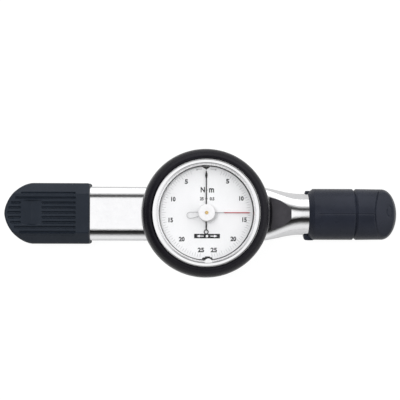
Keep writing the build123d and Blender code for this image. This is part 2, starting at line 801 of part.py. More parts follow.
with BuildPart() as bezel:
    with BuildSketch(dial_plane):
        with BuildLine():
            Polyline(
                (28.80, 37.0), (bezel_r, 37.0), (bezel_r, 49.6), (30.2, 49.93), (29.6, 50.0), (28.3, 50.0), (27.95, 49.9),
                (27.65, 49.3), (27.4, 49.72), (26.95, 49.72), (26.65, 49.3), (26.65, 48.0), (28.30, 48.0), (28.30, 43.0),
                (28.80, 42.9), close=True,
            )
        make_face()
    revolve(axis=dial_axis)
    with Locations((dial_x, 0, wire_z)):
        Torus(housing_r, 0.50, mode=Mode.SUBTRACT)
    with BuildSketch(Plane.XY.offset(button_z - 0.01)):
        with Locations((dial_x + button_x, button_y)):
            Circle(button_r + 0.03)
        with Locations((dial_x, 0)):
            Circle(28.09, mode=Mode.INTERSECT)
    extrude(amount=3.0, mode=Mode.SUBTRACT)
bezel.part.label = "bezel"
export_step(bezel.part, "parts/bezel.step")

with BuildPart() as bezel_wire:
    with Locations((dial_x, 0, wire_z)):
        Torus(housing_r, 0.40)
    with BuildSketch(Plane.XY.offset(wire_z - 1)):
        with Locations((dial_x, -housing_r)):
            Rectangle(2.4, 4.0)
    extrude(amount=2, mode=Mode.SUBTRACT)
bezel_wire.part.label = "bezel_wire"
export_step(bezel_wire.part, "parts/bezel_wire.step")

with BuildPart() as bezel_guard:
    with BuildSketch(dial_plane):
        with BuildLine():
            base = Polyline((34.2, 27.4), (31.2, 27.2), (30.45, 28.2), (30.45, 44.0), (30.55, 47.9))
            lip = Spline(base @ 1, (31.0, 48.75), (31.9, 49.15), (32.9, 48.6))
            side = Spline(lip @ 1, (34.35, 47.2), (35.9, 44.0), (36.55, 38.5), (36.55, 34.0), (35.9, 29.8), base @ 0)
        make_face()
    revolve(axis=dial_axis)
bezel_guard.part.label = "bezel_guard"
export_step(bezel_guard.part, "parts/bezel_guard.step")

spindle_r = 1.0
with BuildPart() as crystal:
    with BuildSketch(Plane.XY.offset(46.4)):
        with Locations((dial_x, 0)):
            Circle(28.26)
            Circle(spindle_r + 0.05, mode=Mode.SUBTRACT)
    extrude(amount=1.55)
crystal.part.label = "crystal"
export_step(crystal.part, "parts/crystal.step")

with BuildPart() as crystal_gasket:
    with BuildSketch(Plane.XY.offset(face_z + 0.02)):
        with Locations((dial_x, 0)):
            Circle(28.26)
            Circle(26.30, mode=Mode.SUBTRACT)
    extrude(amount=46.38 - face_z - 0.02)
crystal_gasket.part.label = "crystal_gasket"
export_step(crystal_gasket.part, "parts/crystal_gasket.step")

with BuildPart() as dial_plate:
    with BuildSketch(Plane.XY.offset(face_z - 0.5)):
        with Locations((dial_x, 0)):
            Circle(28.26)
            Circle(1.5, mode=Mode.SUBTRACT)
    extrude(amount=0.5)
dial_plate.part.label = "dial_plate"
export_step(dial_plate.part, "parts/dial_plate.step")

with BuildPart() as dial_retaining_ring:
    with BuildSketch(Plane.XY.offset(face_z - 1.05)):
        with Locations((dial_x, 0)):
            Circle(28.27)
            Circle(26.0, mode=Mode.SUBTRACT)
    extrude(amount=0.53)
dial_retaining_ring.part.label = "dial_retaining_ring"
export_step(dial_retaining_ring.part, "parts/dial_retaining_ring.step")

with BuildPart() as zero_mark:
    with BuildSketch(Plane.XY.offset(face_z + 0.02)):
        with BuildLine():
            Polyline(
                (dial_x, 24.4), (dial_x + 0.8, 25.0), (dial_x + 1.5, 25.45), (dial_x + 2.3, 26.10),
                (dial_x - 2.3, 26.10), (dial_x - 1.5, 25.45), (dial_x - 0.8, 25.0), close=True,
            )
        make_face()
    extrude(amount=0.3)
zero_mark.part.label = "zero_mark"
export_step(zero_mark.part, "parts/zero_mark.step")

with BuildPart() as rim_plate:
    with BuildSketch(Plane.XY.offset(face_z + 0.02)):
        with BuildLine():
            # stepped outline, three blocks side by side
            Polyline(*[(dial_x + x, y) for x, y in (
                (-2.3, -26.8), (-2.2, -25.45), (-1.75, -25.05), (-0.8, -25.15), (-0.7, -24.75), (-0.4, -24.5),
                (1.9, -24.5), (2.2, -24.75), (2.3, -25.1), (3.1, -24.95), (3.6, -25.4), (3.7, -26.8))], close=True)
        make_face()
        with Locations((dial_x, 0)):
            Circle(26.25, mode=Mode.INTERSECT)
    extrude(amount=0.3)
rim_plate.part.label = "rim_plate"
export_step(rim_plate.part, "parts/rim_plate.step")

with BuildPart() as rim_button:
    with BuildSketch(Plane.XY.offset(button_z)):
        with Locations((dial_x + button_x, button_y)):
            Circle(button_r)
        with Locations((dial_x, 0)):
            Circle(28.06, mode=Mode.INTERSECT)
    extrude(amount=50.05 - button_z)
rim_button.part.label = "rim_button"
export_step(rim_button.part, "parts/rim_button.step")

# ================================================================ PEAK POINTER
peak_z = 45.75
with BuildPart() as peak_spindle:
    with BuildSketch(Plane.XY.offset(peak_z)):
        with Locations((dial_x, 0)):
            Circle(2.0)
    extrude(amount=0.25)
    with BuildSketch(Plane.XY.offset(peak_z + 0.25)):
        with Locations((dial_x, 0)):
            Circle(spindle_r)
    extrude(amount=52.6 - peak_z - 0.25)
    fillet(peak_spindle.faces().sort_by(Axis.Z)[-1].edges(), 0.3)
peak_spindle.part.label = "peak_spindle"
export_step(peak_spindle.part, "parts/peak_spindle.step")



def ribbon(path, width):
    """Closed outline of a flat strip of the given width along a path of points."""
    left, right = [], []
    for i, (x, y) in enumerate(path):
        x0, y0 = path[max(i - 1, 0)]
        x1, y1 = path[min(i + 1, len(path) - 1)]
        n = math.hypot(x1 - x0, y1 - y0)
        nx, ny = -(y1 - y0) / n * width / 2, (x1 - x0) / n * width / 2
        left.append((dial_x + x + nx, y + ny))
        right.append((dial_x + x - nx, y - ny))
    return left + right[::-1]


# upper leg, half turn, lower leg back towards the hub
tail_path = [(-1.6, 0.35), (-4.0, 0.35), (-6.5, 0.35), (-9.0, 0.35)]
tail_path += [(-9.2 - 1.75 * math.sin(math.radians(a)), -1.35 + 1.70 * math.cos(math.radians(a))) for a in range(10, 171, 16)]
tail_path += [(-8.6, -3.05), (-7.4, -2.85), (-6.0, -2.45), (-4.2, -1.85), (-2.0, -1.0)]

with BuildPart() as peak_pointer:
    with BuildSketch(Plane.XY.offset(peak_z + 0.25)):
        with Locations((dial_x, 0)):
            Circle(2.3)
        with Locations((dial_x + 13.2, 0.15)):
            Rectangle(22.6, 0.55)
        # wire-like tail, bent back on itself
        with BuildLine():
            Polyline(*ribbon(tail_path, 0.30), close=True)
        make_face()
        with Locations((dial_x, 0)):
            Circle(spindle_r + 0.02, mode=Mode.SUBTRACT)
    extrude(amount=0.2)
peak_pointer.part.label = "peak_pointer"
export_step(peak_pointer.part, "parts/peak_pointer.step")

with BuildPart() as peak_washer:
    with BuildSketch(Plane.XY.offset(47.98)):
        with Locations((dial_x, 0)):
            Circle(2.8)
            Circle(spindle_r + 0.05, mode=Mode.SUBTRACT)
    extrude(amount=0.22)
peak_washer.part.label = "peak_washer"
export_step(peak_washer.part, "parts/peak_washer.step")

with BuildPart() as peak_knob:
    with BuildSketch(Plane.XY.offset(48.2)):
        with Locations((dial_x, 0)):
            Circle(4.7)
    extrude(amount=4.0)
    fillet(peak_knob.faces().sort_by(Axis.Z)[-1].edges(), 0.6)
    with BuildSketch(Plane.XY.offset(48)):
        with Locations((dial_x, 0)):
            Circle(spindle_r + 0.02)
    extrude(amount=6, mode=Mode.SUBTRACT)
    with BuildSketch(Plane.XY.offset(48.2)):
        with Locations((dial_x, 0)):
            with PolarLocations(4.85, 30):
                Circle(0.28)
    extrude(amount=3.2, mode=Mode.SUBTRACT)
peak_knob.part.label = "peak_knob"
export_step(peak_knob.part, "parts/peak_knob.step")

# ================================================================ NECK WEDGE
with BuildPart() as neck_wedge:
    with BuildSketch(Plane.XY.offset(16.0)):
        with BuildLine():
            arc_half = math.asin(9.75 / 39.0)
            left = ThreePointArc(
                (dial_x + 39.0 * math.cos(arc_half), -9.75),
                (dial_x + 39.0, 0),
                (dial_x + 39.0 * math.cos(arc_half), 9.75),
            )
            upper = Spline(left @ 1, (142.6, 8.15), (146.2, 6.15), (148.6, 4.3), (150.0, 2.9))
            Line(upper @ 1, (150.0, -2.9))
            lower = Spline((150.0, -2.9), (148.6, -4.3), (146.2, -6.15), (142.6, -8.15), left @ 0)
        make_face()
    extrude(amount=10)
    with BuildSketch(Plane.XZ.offset(-20)):
        with BuildLine():
            Polyline((130, 22.6), (160, 23.6), (160, 40), (130, 40), close=True)
        make_face()
    extrude(amount=40, mode=Mode.SUBTRACT)
    add(tube_solid(tube_x0, 170.0, -0.05), mode=Mode.SUBTRACT)
neck_wedge.part.label = "neck_wedge"
export_step(neck_wedge.part, "parts/neck_wedge.step")

# ================================================================ GRIP
grip_axis = Axis((0, 0, tube_z), (1, 0, 0))
grip_plane = Plane(origin=(0, 0, tube_z), x_dir=(1, 0, 0), z_dir=(0, -1, 0))

with BuildPart() as grip_sleeve:
    with BuildSketch(grip_plane):
        with BuildLine():
            Polyline(
                (grip_x0, grip_bore), (grip_x0, grip_r - 2.5), (grip_x0 + 3.0, grip_r), (grip_split - 1.1, grip_r),
                (grip_split - 0.03, grip_r - 1.0), (grip_split - 0.03, grip_bore), close=True,
            )
        make_face()
    revolve(axis=grip_axis)
    # heel: lower part of one side runs on past the chamfer
    with BuildSketch(across(heel_x0)):
        Circle(grip_r - 0.05)
        Circle(grip_bore, mode=Mode.SUBTRACT)
        with BuildLine():
            Polyline((0, 0), (-25, 0), (-25, -25), (-14.4, -25), close=True)
        make_face(mode=Mode.INTERSECT)
    extrude(amount=grip_x0 + 3.2 - heel_x0)
    with BuildSketch(across(heel_x0 + 0.7)):
        Circle(13.8)
        Circle(grip_bore, mode=Mode.SUBTRACT)
        with BuildLine():
            Polyline((0, 0), (25, 0), (25, -25), (14.4, -25), close=True)
        make_face(mode=Mode.INTERSECT)
    extrude(amount=2.2)
    with BuildSketch(Plane.XY.offset(-6)):
        with Locations((175.0, 0)):
            Circle(1.55)
    extrude(amount=10, mode=Mode.SUBTRACT)
grip_sleeve.part.label = "grip_sleeve"
export_step(grip_sleeve.part, "parts/grip_sleeve.step")

dome_x = 203.9
# what the sloping upper half of the end cap loses from its round outline
slope_x = 198.3
slope = 0.30
with BuildPart() as cap_trim:
    with BuildSketch(across(slope_x)):
        Circle(20.0)
    extrude(amount=16.0, dir=(1, 0, 0))
    with BuildSketch(across(slope_x)):
        Circle(grip_r - 0.12)
    extrude(amount=18.0 * math.hypot(1, slope), dir=(1 / math.hypot(1, slope), 0, -slope / math.hypot(1, slope)), mode=Mode.SUBTRACT)
    with BuildSketch(Plane.XY.offset(tube_z - 30)):
        with Locations((slope_x + 8, 0)):
            Rectangle(40, 60)
    extrude(amount=30.0, mode=Mode.SUBTRACT)

with BuildPart() as grip_end_cap:
    with BuildSketch(grip_plane):
        with BuildLine():
            a = Polyline((tube_x1 + 0.6, 0), (tube_x1 + 0.6, grip_bore), (grip_split + 0.03, grip_bore),
                         (grip_split + 0.03, grip_r - 1.0), (grip_split + 1.1, grip_r), (dome_x, grip_r - 0.15))
            dome = Spline(
                a @ 1,
                *[(dome_x + (grip_x1 - dome_x) * math.sin(t), (grip_r - 0.15) * math.cos(t))
                  for t in (math.radians(v) for v in (15, 30, 45, 60, 75))],
                (grip_x1, 0),
                tangents=[(1, 0), (0, -1)],
            )
            Line(dome @ 1, a @ 0)
        make_face()
    revolve(axis=grip_axis)
    add(cap_trim.part, mode=Mode.SUBTRACT)
    with BuildSketch(Plane.XY.offset(-6)):
        with Locations((197.5, 0)):
            Circle(1.55)
    extrude(amount=10, mode=Mode.SUBTRACT)
grip_end_cap.part.label = "grip_end_cap"
export_step(grip_end_cap.part, "parts/grip_end_cap.step")

with BuildPart() as tube_plug:
    with BuildSketch(across(194.0)):
        Circle(neck_r - tube_wall - 0.06)
    extrude(amount=11.0)
    with BuildSketch(Plane.XY.offset(-4)):
        with Locations((197.5, 0)):
            Circle(1.52)
    extrude(amount=10, mode=Mode.SUBTRACT)
tube_plug.part.label = "tube_plug"
export_step(tube_plug.part, "parts/tube_plug.step")

with BuildPart() as grip_screws:
    with BuildSketch(Plane.XY.offset(-2.6)):
        with Locations((175.0, 0), (197.5, 0)):
            Circle(1.49)
    extrude(amount=3.6)
    with BuildSketch(Plane.XY.offset(-2.6)):
        with Locations((175.0, 0), (197.5, 0)):
            RegularPolygon(0.75, 6)
    extrude(amount=1.6, mode=Mode.SUBTRACT)
grip_screws.part.label = "grip_screws"
export_step(grip_screws.part, "parts/grip_screws.step")
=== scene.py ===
import math

import bpy
import numpy as np
from mathutils import Matrix, Vector


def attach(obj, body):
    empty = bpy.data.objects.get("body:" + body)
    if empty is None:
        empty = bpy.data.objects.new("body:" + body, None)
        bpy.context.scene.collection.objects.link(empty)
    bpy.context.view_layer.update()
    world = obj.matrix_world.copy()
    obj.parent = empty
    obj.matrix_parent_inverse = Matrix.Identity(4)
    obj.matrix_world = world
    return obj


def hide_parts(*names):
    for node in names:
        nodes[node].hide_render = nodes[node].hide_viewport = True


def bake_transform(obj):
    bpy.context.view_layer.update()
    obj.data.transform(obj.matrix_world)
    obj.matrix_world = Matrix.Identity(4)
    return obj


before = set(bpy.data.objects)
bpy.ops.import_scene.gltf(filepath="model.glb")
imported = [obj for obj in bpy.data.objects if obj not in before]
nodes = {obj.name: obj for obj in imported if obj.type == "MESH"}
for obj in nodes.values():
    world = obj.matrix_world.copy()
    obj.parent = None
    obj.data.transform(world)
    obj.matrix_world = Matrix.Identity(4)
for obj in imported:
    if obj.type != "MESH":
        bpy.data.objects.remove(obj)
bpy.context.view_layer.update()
MM = 0.001

# ---------------------------------------------------------------- dimensions (mm)
TUBE_Z = 11.5
NECK_X0, NECK_X1, NECK_R = 130.0, 156.0, 12.05
HEAD_R, HEAD_X1 = 17.7, 33.0
DIAL_X = 99.6
FACE_Z = 44.1
GRIP_X0, GRIP_SPLIT, GRIP_X1, GRIP_R, GRIP_BORE = 160.3, 187.6, 212.6, 15.0, 12.13


# ================================================================ CAMERA
def make_camera():
    cam = bpy.data.cameras.new("photo_camera")
    cam.lens = 122.65
    cam.sensor_width = 36.0
    cam.clip_start, cam.clip_end = 0.01, 50.0
    eye, aim = Vector((0.071467, -0.014601, 0.8115)), Vector((0.097149, 0.008208, 0.0115))
    f = (aim - eye).normalized()
    r = f.cross(Vector((0, 1, 0))).normalized()
    u = r.cross(f)
    roll = 0.00263
    r2 = r * math.cos(roll) + u * math.sin(roll)
    u2 = u * math.cos(roll) - r * math.sin(roll)
    m = Matrix.Identity(4)
    for i, axis in enumerate((r2, u2, -f)):
        for j in range(3):
            m[j][i] = axis[j]
    m.translation = eye
    o = bpy.data.objects.new("photo_camera", cam)
    bpy.context.scene.collection.objects.link(o)
    o.matrix_world = m
    bpy.context.scene.camera = o


make_camera()


# ================================================================ MATERIALS
def lin(r, g, b):
    """Linear colour of an 8-bit display colour."""
    return tuple((c / 12.92 if c <= 0.04045 else ((c + 0.055) / 1.055) ** 2.4) for c in (r / 255, g / 255, b / 255))


class Mat:
    """A Principled material with its coordinate in millimetres and a few node shortcuts."""

    def __init__(self, name):
        self.m = bpy.data.materials.new(name)
        self.m.use_nodes = True
        self.nt = self.m.node_tree
        self.b = self.nt.nodes["Principled BSDF"]
        tc = self.nt.nodes.new("ShaderNodeTexCoord")
        mp = self.nt.nodes.new("ShaderNodeMapping")
        mp.inputs["Scale"].default_value = (1000, 1000, 1000)
        self.nt.links.new(tc.outputs["Object"], mp.inputs["Vector"])
        self.co = mp.outputs["Vector"]
        self.normal = None

    def new(self, kind, **sockets):
        n = self.nt.nodes.new("ShaderNode" + kind)
        for k, v in sockets.items():
            self.put(n.inputs[k.replace("_", " ")], v)
        return n

    def put(self, socket, v):
        if isinstance(v, bpy.types.NodeSocket):
            self.nt.links.new(v, socket)
        else:
            socket.default_value = v

    def noise(self, scale, detail=3.0, rough=0.55, stretch=(1, 1, 1), lacun=2.0):
        mp = self.new("Mapping")
        self.put(mp.inputs["Vector"], self.co)
        mp.inputs["Scale"].default_value = stretch
        n = self.new("TexNoise", Scale=scale, Detail=detail, Roughness=rough, Lacunarity=lacun)
        self.put(n.inputs["Vector"], mp.outputs["Vector"])
        return n.outputs["Fac"]

    def voronoi(self, scale, feature="F1"):
        n = self.nt.nodes.new("ShaderNodeTexVoronoi")
        n.feature = feature
        n.inputs["Scale"].default_value = scale
        self.put(n.inputs["Vector"], self.co)
        return n.outputs["Distance"]

    def remap(self, value, a, b, c, d, smooth=False):
        n = self.nt.nodes.new("ShaderNodeMapRange")
        n.interpolation_type = "SMOOTHSTEP" if smooth else "LINEAR"
        for k, v in zip(("Value", "From Min", "From Max", "To Min", "To Max"), (value, a, b, c, d)):
            self.put(n.inputs[k], v)
        return n.outputs["Result"]

    def mix(self, fac, a, b):
        n = self.nt.nodes.new("ShaderNodeMix")
        n.data_type = "RGBA"
        self.put(n.inputs["Factor"], fac)
        for k, v in (("A", a), ("B", b)):
            s = [i for i in n.inputs if i.name == k and i.type == "RGBA"][0]
            self.put(s, v if isinstance(v, bpy.types.NodeSocket) else (*v, 1.0))
        return [o for o in n.outputs if o.type == "RGBA"][0]

    def math(self, op, a, b=0.0, c=0.0):
        n = self.nt.nodes.new("ShaderNodeMath")
        n.operation = op
        for i, v in enumerate((a, b, c)):
            self.put(n.inputs[i], v)
        return n.outputs[0]

    def bump(self, height, depth_mm, strength=1.0):
        n = self.nt.nodes.new("ShaderNodeBump")
        n.inputs["Strength"].default_value = strength
        n.inputs["Distance"].default_value = depth_mm * MM
        self.put(n.inputs["Height"], height)
        if self.normal is not None:
            self.put(n.inputs["Normal"], self.normal)
        self.normal = n.outputs["Normal"]
        self.put(self.b.inputs["Normal"], self.normal)

    def set(self, **vals):
        for k, v in vals.items():
            self.b.inputs[k.replace("_", " ")].default_value = v
        return self

    def base(self, a, b, fac):
        self.put(self.b.inputs["Base Color"], self.mix(fac, a, b))

    def rough(self, low, high, scale=0.4, detail=4.0, stretch=(1, 1, 1)):
        self.put(self.b.inputs["Roughness"], self.remap(self.noise(scale, detail, 0.6, stretch), 0.3, 0.7, low, high))


def plastic(name, dark, light, rough=(0.42, 0.55), grain=0.02, grain_scale=2.6, specular=0.28, wear=0.0):
    """Moulded plastic: eroded texture, faint cloudy colour, a little scuffing."""
    m = Mat(name)
    cloud = m.noise(0.06, 4.0, 0.6)
    m.base(dark, light, m.remap(cloud, 0.35, 0.65, 0.0, 1.0))
    if wear:
        scuff = m.remap(m.noise(1.1, 6.0, 0.7, (0.25, 1.6, 1.6)), 0.62, 0.72, 0.0, wear)
        m.put(m.b.inputs["Base Color"], m.mix(scuff, m.mix(m.remap(cloud, 0.35, 0.65, 0.0, 1.0), dark, light), tuple(min(1, c * 1.9 + 0.02) for c in light)))
    m.rough(*rough, scale=0.35)
    m.set(Specular_IOR_Level=specular, Metallic=0.0)
    m.bump(m.noise(grain_scale, 3.0, 0.65), grain, 0.5)
    m.bump(m.noise(0.12, 3.0, 0.5), 0.05, 0.25)
    return m.m


def metal(name, dark, light, rough=(0.16, 0.26), brushed=None, depth=0.004, scale=1.2, specular=0.5, spots=0.0):
    m = Mat(name)
    m.base(dark, light, m.remap(m.noise(0.25, 5.0, 0.6), 0.3, 0.7, 0.0, 1.0))
    if spots:
        pit = m.remap(m.noise(2.2, 5.0, 0.7), 0.66, 0.74, 0.0, spots)
        m.put(m.b.inputs["Base Color"], m.mix(pit, m.mix(m.remap(m.noise(0.25, 5.0, 0.6), 0.3, 0.7, 0.0, 1.0), dark, light), tuple(c * 0.55 for c in dark)))
    m.set(Metallic=1.0, Specular_IOR_Level=specular)
    if brushed:
        m.rough(*rough, scale=scale, detail=4.0, stretch=brushed)
        m.bump(m.noise(scale * 1.5, 4.0, 0.7, brushed), depth, 0.5)
    else:
        m.rough(*rough, scale=scale)
        m.bump(m.noise(scale * 2.0, 4.0, 0.6), depth, 0.35)
    return m.m


MATS = {}
MATS["cover_plastic"] = plastic("cover_plastic", lin(29, 35, 44), lin(34, 40, 49), (0.34, 0.44), 0.010, 2.4, 0.20, wear=0.04)
MATS["grip_plastic"] = plastic("grip_plastic", lin(36, 39, 48), lin(41, 44, 54), (0.26, 0.34), 0.005, 2.8, 0.15, wear=0.03)
MATS["wedge_plastic"] = plastic("wedge_plastic", lin(44, 43, 47), lin(62, 60, 65), (0.40, 0.58), 0.12, 0.9, 0.30, wear=0.45)
MATS["guard_rubber"] = plastic("guard_rubber", lin(20, 19, 24), lin(25, 24, 30), (0.24, 0.32), 0.005, 3.2, 0.15)
MATS["chrome"] = metal("chrome", (0.86, 0.86, 0.875), (0.91, 0.91, 0.92), (0.045, 0.085), None, 0.0012, 0.5)
MATS["chrome_tube"] = metal("chrome_tube", (0.86, 0.86, 0.875), (0.91, 0.91, 0.92), (0.05, 0.10), (0.6, 1.0, 1.0), 0.055, 0.62)
MATS["tool_steel"] = metal("tool_steel", (0.50, 0.50, 0.51), (0.62, 0.62, 0.62), (0.26, 0.40), (0.3, 1.0, 3.0), 0.006, 2.0, spots=0.3)
MATS["spring_steel"] = metal("spring_steel", (0.46, 0.47, 0.50), (0.56, 0.57, 0.60), (0.20, 0.32), None, 0.003, 1.5)
MATS["black_steel"] = metal("black_steel", (0.030, 0.030, 0.033), (0.055, 0.055, 0.06), (0.34, 0.48), None, 0.004, 2.0)
MATS["bronze"] = metal("bronze", (0.50, 0.32, 0.15), (0.62, 0.41, 0.21), (0.26, 0.40), None, 0.005, 1.4, spots=0.35)
MATS["brass"] = metal("brass", (0.72, 0.52, 0.24), (0.82, 0.62, 0.32), (0.18, 0.30), None, 0.003, 1.4)
MATS["black_paint"] = plastic("black_paint", (0.012, 0.012, 0.014), (0.022, 0.022, 0.025), (0.30, 0.45), 0.012, 1.8, 0.45)
MATS["black_hand"] = plastic("black_hand", (0.008, 0.008, 0.009), (0.015, 0.015, 0.016), (0.38, 0.52), 0.003, 3.0, 0.35)


def red_hand():
    m = Mat("red_hand")
    sep = m.new("SeparateXYZ", Vector=m.co)
    reach = m.math("SUBTRACT", sep.outputs["X"], DIAL_X)
    red = m.mix(m.remap(m.noise(1.2, 3.0), 0.35, 0.65, 0.0, 1.0), lin(150, 28, 42), lin(172, 40, 54))
    wire = m.mix(m.remap(m.noise(1.2, 3.0), 0.35, 0.65, 0.0, 1.0), lin(150, 150, 152), lin(172, 172, 174))
    m.put(m.b.inputs["Base Color"], m.mix(m.remap(reach, 9.9, 10.3, 0.0, 1.0), wire, red))
    m.rough(0.35, 0.5, 1.0)
    m.bump(m.noise(3.0, 3.0), 0.003, 0.4)
    return m.m


def paper(name, dark, light, rough=(0.42, 0.52), specular=0.3, grain=0.004, scale=1.6):
    m = Mat(name)
    m.base(dark, light, m.remap(m.noise(0.16, 5.0, 0.6), 0.3, 0.7, 0.0, 1.0))
    m.rough(*rough, scale=0.6)
    m.set(Specular_IOR_Level=specular)
    m.bump(m.noise(scale, 4.0, 0.6), grain, 0.3)
    return m.m


MATS["red_hand"] = red_hand()
MATS["dial_white"] = paper("dial_white", (0.785, 0.785, 0.797), (0.81, 0.81, 0.82))
MATS["knob_white"] = paper("knob_white", (0.72, 0.72, 0.73), (0.76, 0.76, 0.77), (0.22, 0.32), 0.5, 0.004, 1.2)
MATS["ink"] = paper("ink", lin(24, 24, 28), lin(34, 34, 38), (0.45, 0.55), 0.3, 0.002, 3.0)
MATS["ink_grey"] = paper("ink_grey", lin(112, 112, 116), lin(128, 128, 132), (0.45, 0.55), 0.3, 0.002, 3.0)
MATS["ink_black"] = paper("ink_black", lin(16, 16, 18), lin(24, 24, 26), (0.40, 0.50), 0.3, 0.002, 3.0)


def clear_acrylic():
    m = bpy.data.materials.new("crystal")
    m.use_nodes = True
    nt = m.node_tree
    nt.nodes.remove(nt.nodes["Principled BSDF"])
    out = nt.nodes["Material Output"]
    tr = nt.nodes.new("ShaderNodeBsdfTransparent")
    tr.inputs["Color"].default_value = (0.997, 0.998, 0.998, 1)
    gl = nt.nodes.new("ShaderNodeBsdfGlossy")
    gl.inputs["Color"].default_value = (1, 1, 1, 1)
    tc = nt.nodes.new("ShaderNodeTexCoord")
    no = nt.nodes.new("ShaderNodeTexNoise")
    no.inputs["Scale"].default_value = 300.0
    no.inputs["Detail"].default_value = 5.0
    nt.links.new(tc.outputs["Object"], no.inputs["Vector"])
    mr = nt.nodes.new("ShaderNodeMapRange")
    mr.inputs["From Min"].default_value, mr.inputs["From Max"].default_value = 0.35, 0.7
    mr.inputs["To Min"].default_value, mr.inputs["To Max"].default_value = 0.02, 0.07
    nt.links.new(no.outputs["Fac"], mr.inputs["Value"])
    nt.links.new(mr.outputs["Result"], gl.inputs["Roughness"])
    fr = nt.nodes.new("ShaderNodeFresnel")
    # the same reflectance on the way in and on the way out of the sheet
    ge = nt.nodes.new("ShaderNodeNewGeometry")
    ior = nt.nodes.new("ShaderNodeMapRange")
    ior.inputs["To Min"].default_value, ior.inputs["To Max"].default_value = 1.22, 1 / 1.22
    nt.links.new(ge.outputs["Backfacing"], ior.inputs["Value"])
    nt.links.new(ior.outputs["Result"], fr.inputs["IOR"])
    mx = nt.nodes.new("ShaderNodeMixShader")
    nt.links.new(fr.outputs["Fac"], mx.inputs["Fac"])
    nt.links.new(tr.outputs["BSDF"], mx.inputs[1])
    nt.links.new(gl.outputs["BSDF"], mx.inputs[2])
    nt.links.new(mx.outputs["Shader"], out.inputs["Surface"])
    return m


MATS["crystal"] = clear_acrylic()

for node in nodes.values():
    for i, old in enumerate(node.data.materials):
        key = old.name.split(".")[0] if old else "tool_steel"
        node.data.materials[i] = MATS.get(key, MATS["tool_steel"])


# ================================================================ MESH TOOLS
def put_mesh(name, verts, faces, body, slot, replaces=(), angle=32.0, material=None):
    """Mesh object from millimetre coordinates, smooth except across edges sharper than angle."""
    me = bpy.data.meshes.new(name)
    me.from_pydata([(x * MM, y * MM, z * MM) for x, y, z in verts], [], faces)
    me.validate()
    me.shade_smooth()
    me.set_sharp_from_angle(angle=math.radians(angle))
    me.materials.append(MATS[material or slot])
    o = bpy.data.objects.new(name, me)
    bpy.context.scene.collection.objects.link(o)
    if body:
        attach(o, body)
    if replaces:
        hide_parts(*replaces)
    return o


def bake_modifiers(o, angle=None):
    dg = bpy.context.evaluated_depsgraph_get()
    me = bpy.data.meshes.new_from_object(o.evaluated_get(dg), depsgraph=dg)
    o.modifiers.clear()
    o.data = me
    if angle:
        me.shade_smooth()
        me.set_sharp_from_angle(angle=math.radians(angle))
    return o


def cut(o, cutters, angle=32.0):
    """Subtracts plain solids from o; the cutters are scratch objects and are removed."""
    for c in cutters:
        mod = o.modifiers.new("cut", "BOOLEAN")
        mod.operation = "DIFFERENCE"
        mod.solver = "EXACT"
        mod.object = c
    bake_modifiers(o, angle)
    for c in cutters:
        bpy.data.objects.remove(c)
    return o


def prism(points, z0, z1):
    """Scratch solid: a closed outline from z0 to z1 (mm)."""
    n = len(points)
    v = [(x, y, z0) for x, y in points] + [(x, y, z1) for x, y in points]
    f = [tuple(range(n))[::-1], tuple(range(n, 2 * n))] + [(i, (i + 1) % n, n + (i + 1) % n, n + i) for i in range(n)]
    me = bpy.data.meshes.new("scratch")
    me.from_pydata([(a * MM, b * MM, c * MM) for a, b, c in v], [], f)
    o = bpy.data.objects.new("scratch", me)
    bpy.context.scene.collection.objects.link(o)
    return o


def ring_points(x, y, r, n=48):
    return [(x + r * math.cos(2 * math.pi * i / n), y + r * math.sin(2 * math.pi * i / n)) for i in range(n)]


def cone(x, y, z0, r0, z1, r1, n=48):
    a, b = ring_points(x, y, r0, n), ring_points(x, y, r1, n)
    v = [(p, q, z0) for p, q in a] + [(p, q, z1) for p, q in b]
    f = [tuple(range(n))[::-1], tuple(range(n, 2 * n))] + [(i, (i + 1) % n, n + (i + 1) % n, n + i) for i in range(n)]
    me = bpy.data.meshes.new("scratch")
    me.from_pydata([(p * MM, q * MM, s * MM) for p, q, s in v], [], f)
    o = bpy.data.objects.new("scratch", me)
    bpy.context.scene.collection.objects.link(o)
    return o


def rounded(points, closed=True, steps=4):
    """Outline with each corner (x, y, radius) replaced by an arc."""
    out = []
    n = len(points)
    for i, (x, y, r) in enumerate(points):
        if r <= 0 or (not closed and i in (0, n - 1)):
            out.append((x, y))
            continue
        p, a, b = Vector((x, y)), Vector(points[i - 1][:2]), Vector(points[(i + 1) % n][:2])
        u, v = (a - p).normalized(), (b - p).normalized()
        half = math.acos(max(-1, min(1, u.dot(v)))) / 2
        if half > math.radians(88):
            out.append((x, y))
            continue
        t = min(r / math.tan(half), (a - p).length * 0.49, (b - p).length * 0.49)
        r = t * math.tan(half)
        c = p + (u + v).normalized() * (r / math.sin(half))
        s, e = p + u * t - c, p + v * t - c
        turn = s.angle_signed(e)
        for k in range(steps + 1):
            w = -turn * k / steps
            q = c + Vector((s.x * math.cos(w) - s.y * math.sin(w), s.x * math.sin(w) + s.y * math.cos(w)))
            out.append((q.x, q.y))
    return out


def catmull(points, steps=6):
    """Smooth curve through all points."""
    p = [np.array(q, float) for q in points]
    p = [2 * p[0] - p[1]] + p + [2 * p[-1] - p[-2]]
    out = []
    for i in range(1, len(p) - 2):
        for k in range(steps):
            t = k / steps
            out.append(tuple(0.5 * ((2 * p[i]) + (p[i + 1] - p[i - 1]) * t + (2 * p[i - 1] - 5 * p[i] + 4 * p[i + 1] - p[i + 2]) * t * t
                                    + (3 * p[i] - p[i - 1] - 3 * p[i + 1] + p[i + 2]) * t ** 3)))
    out.append(tuple(p[-2]))
    return out


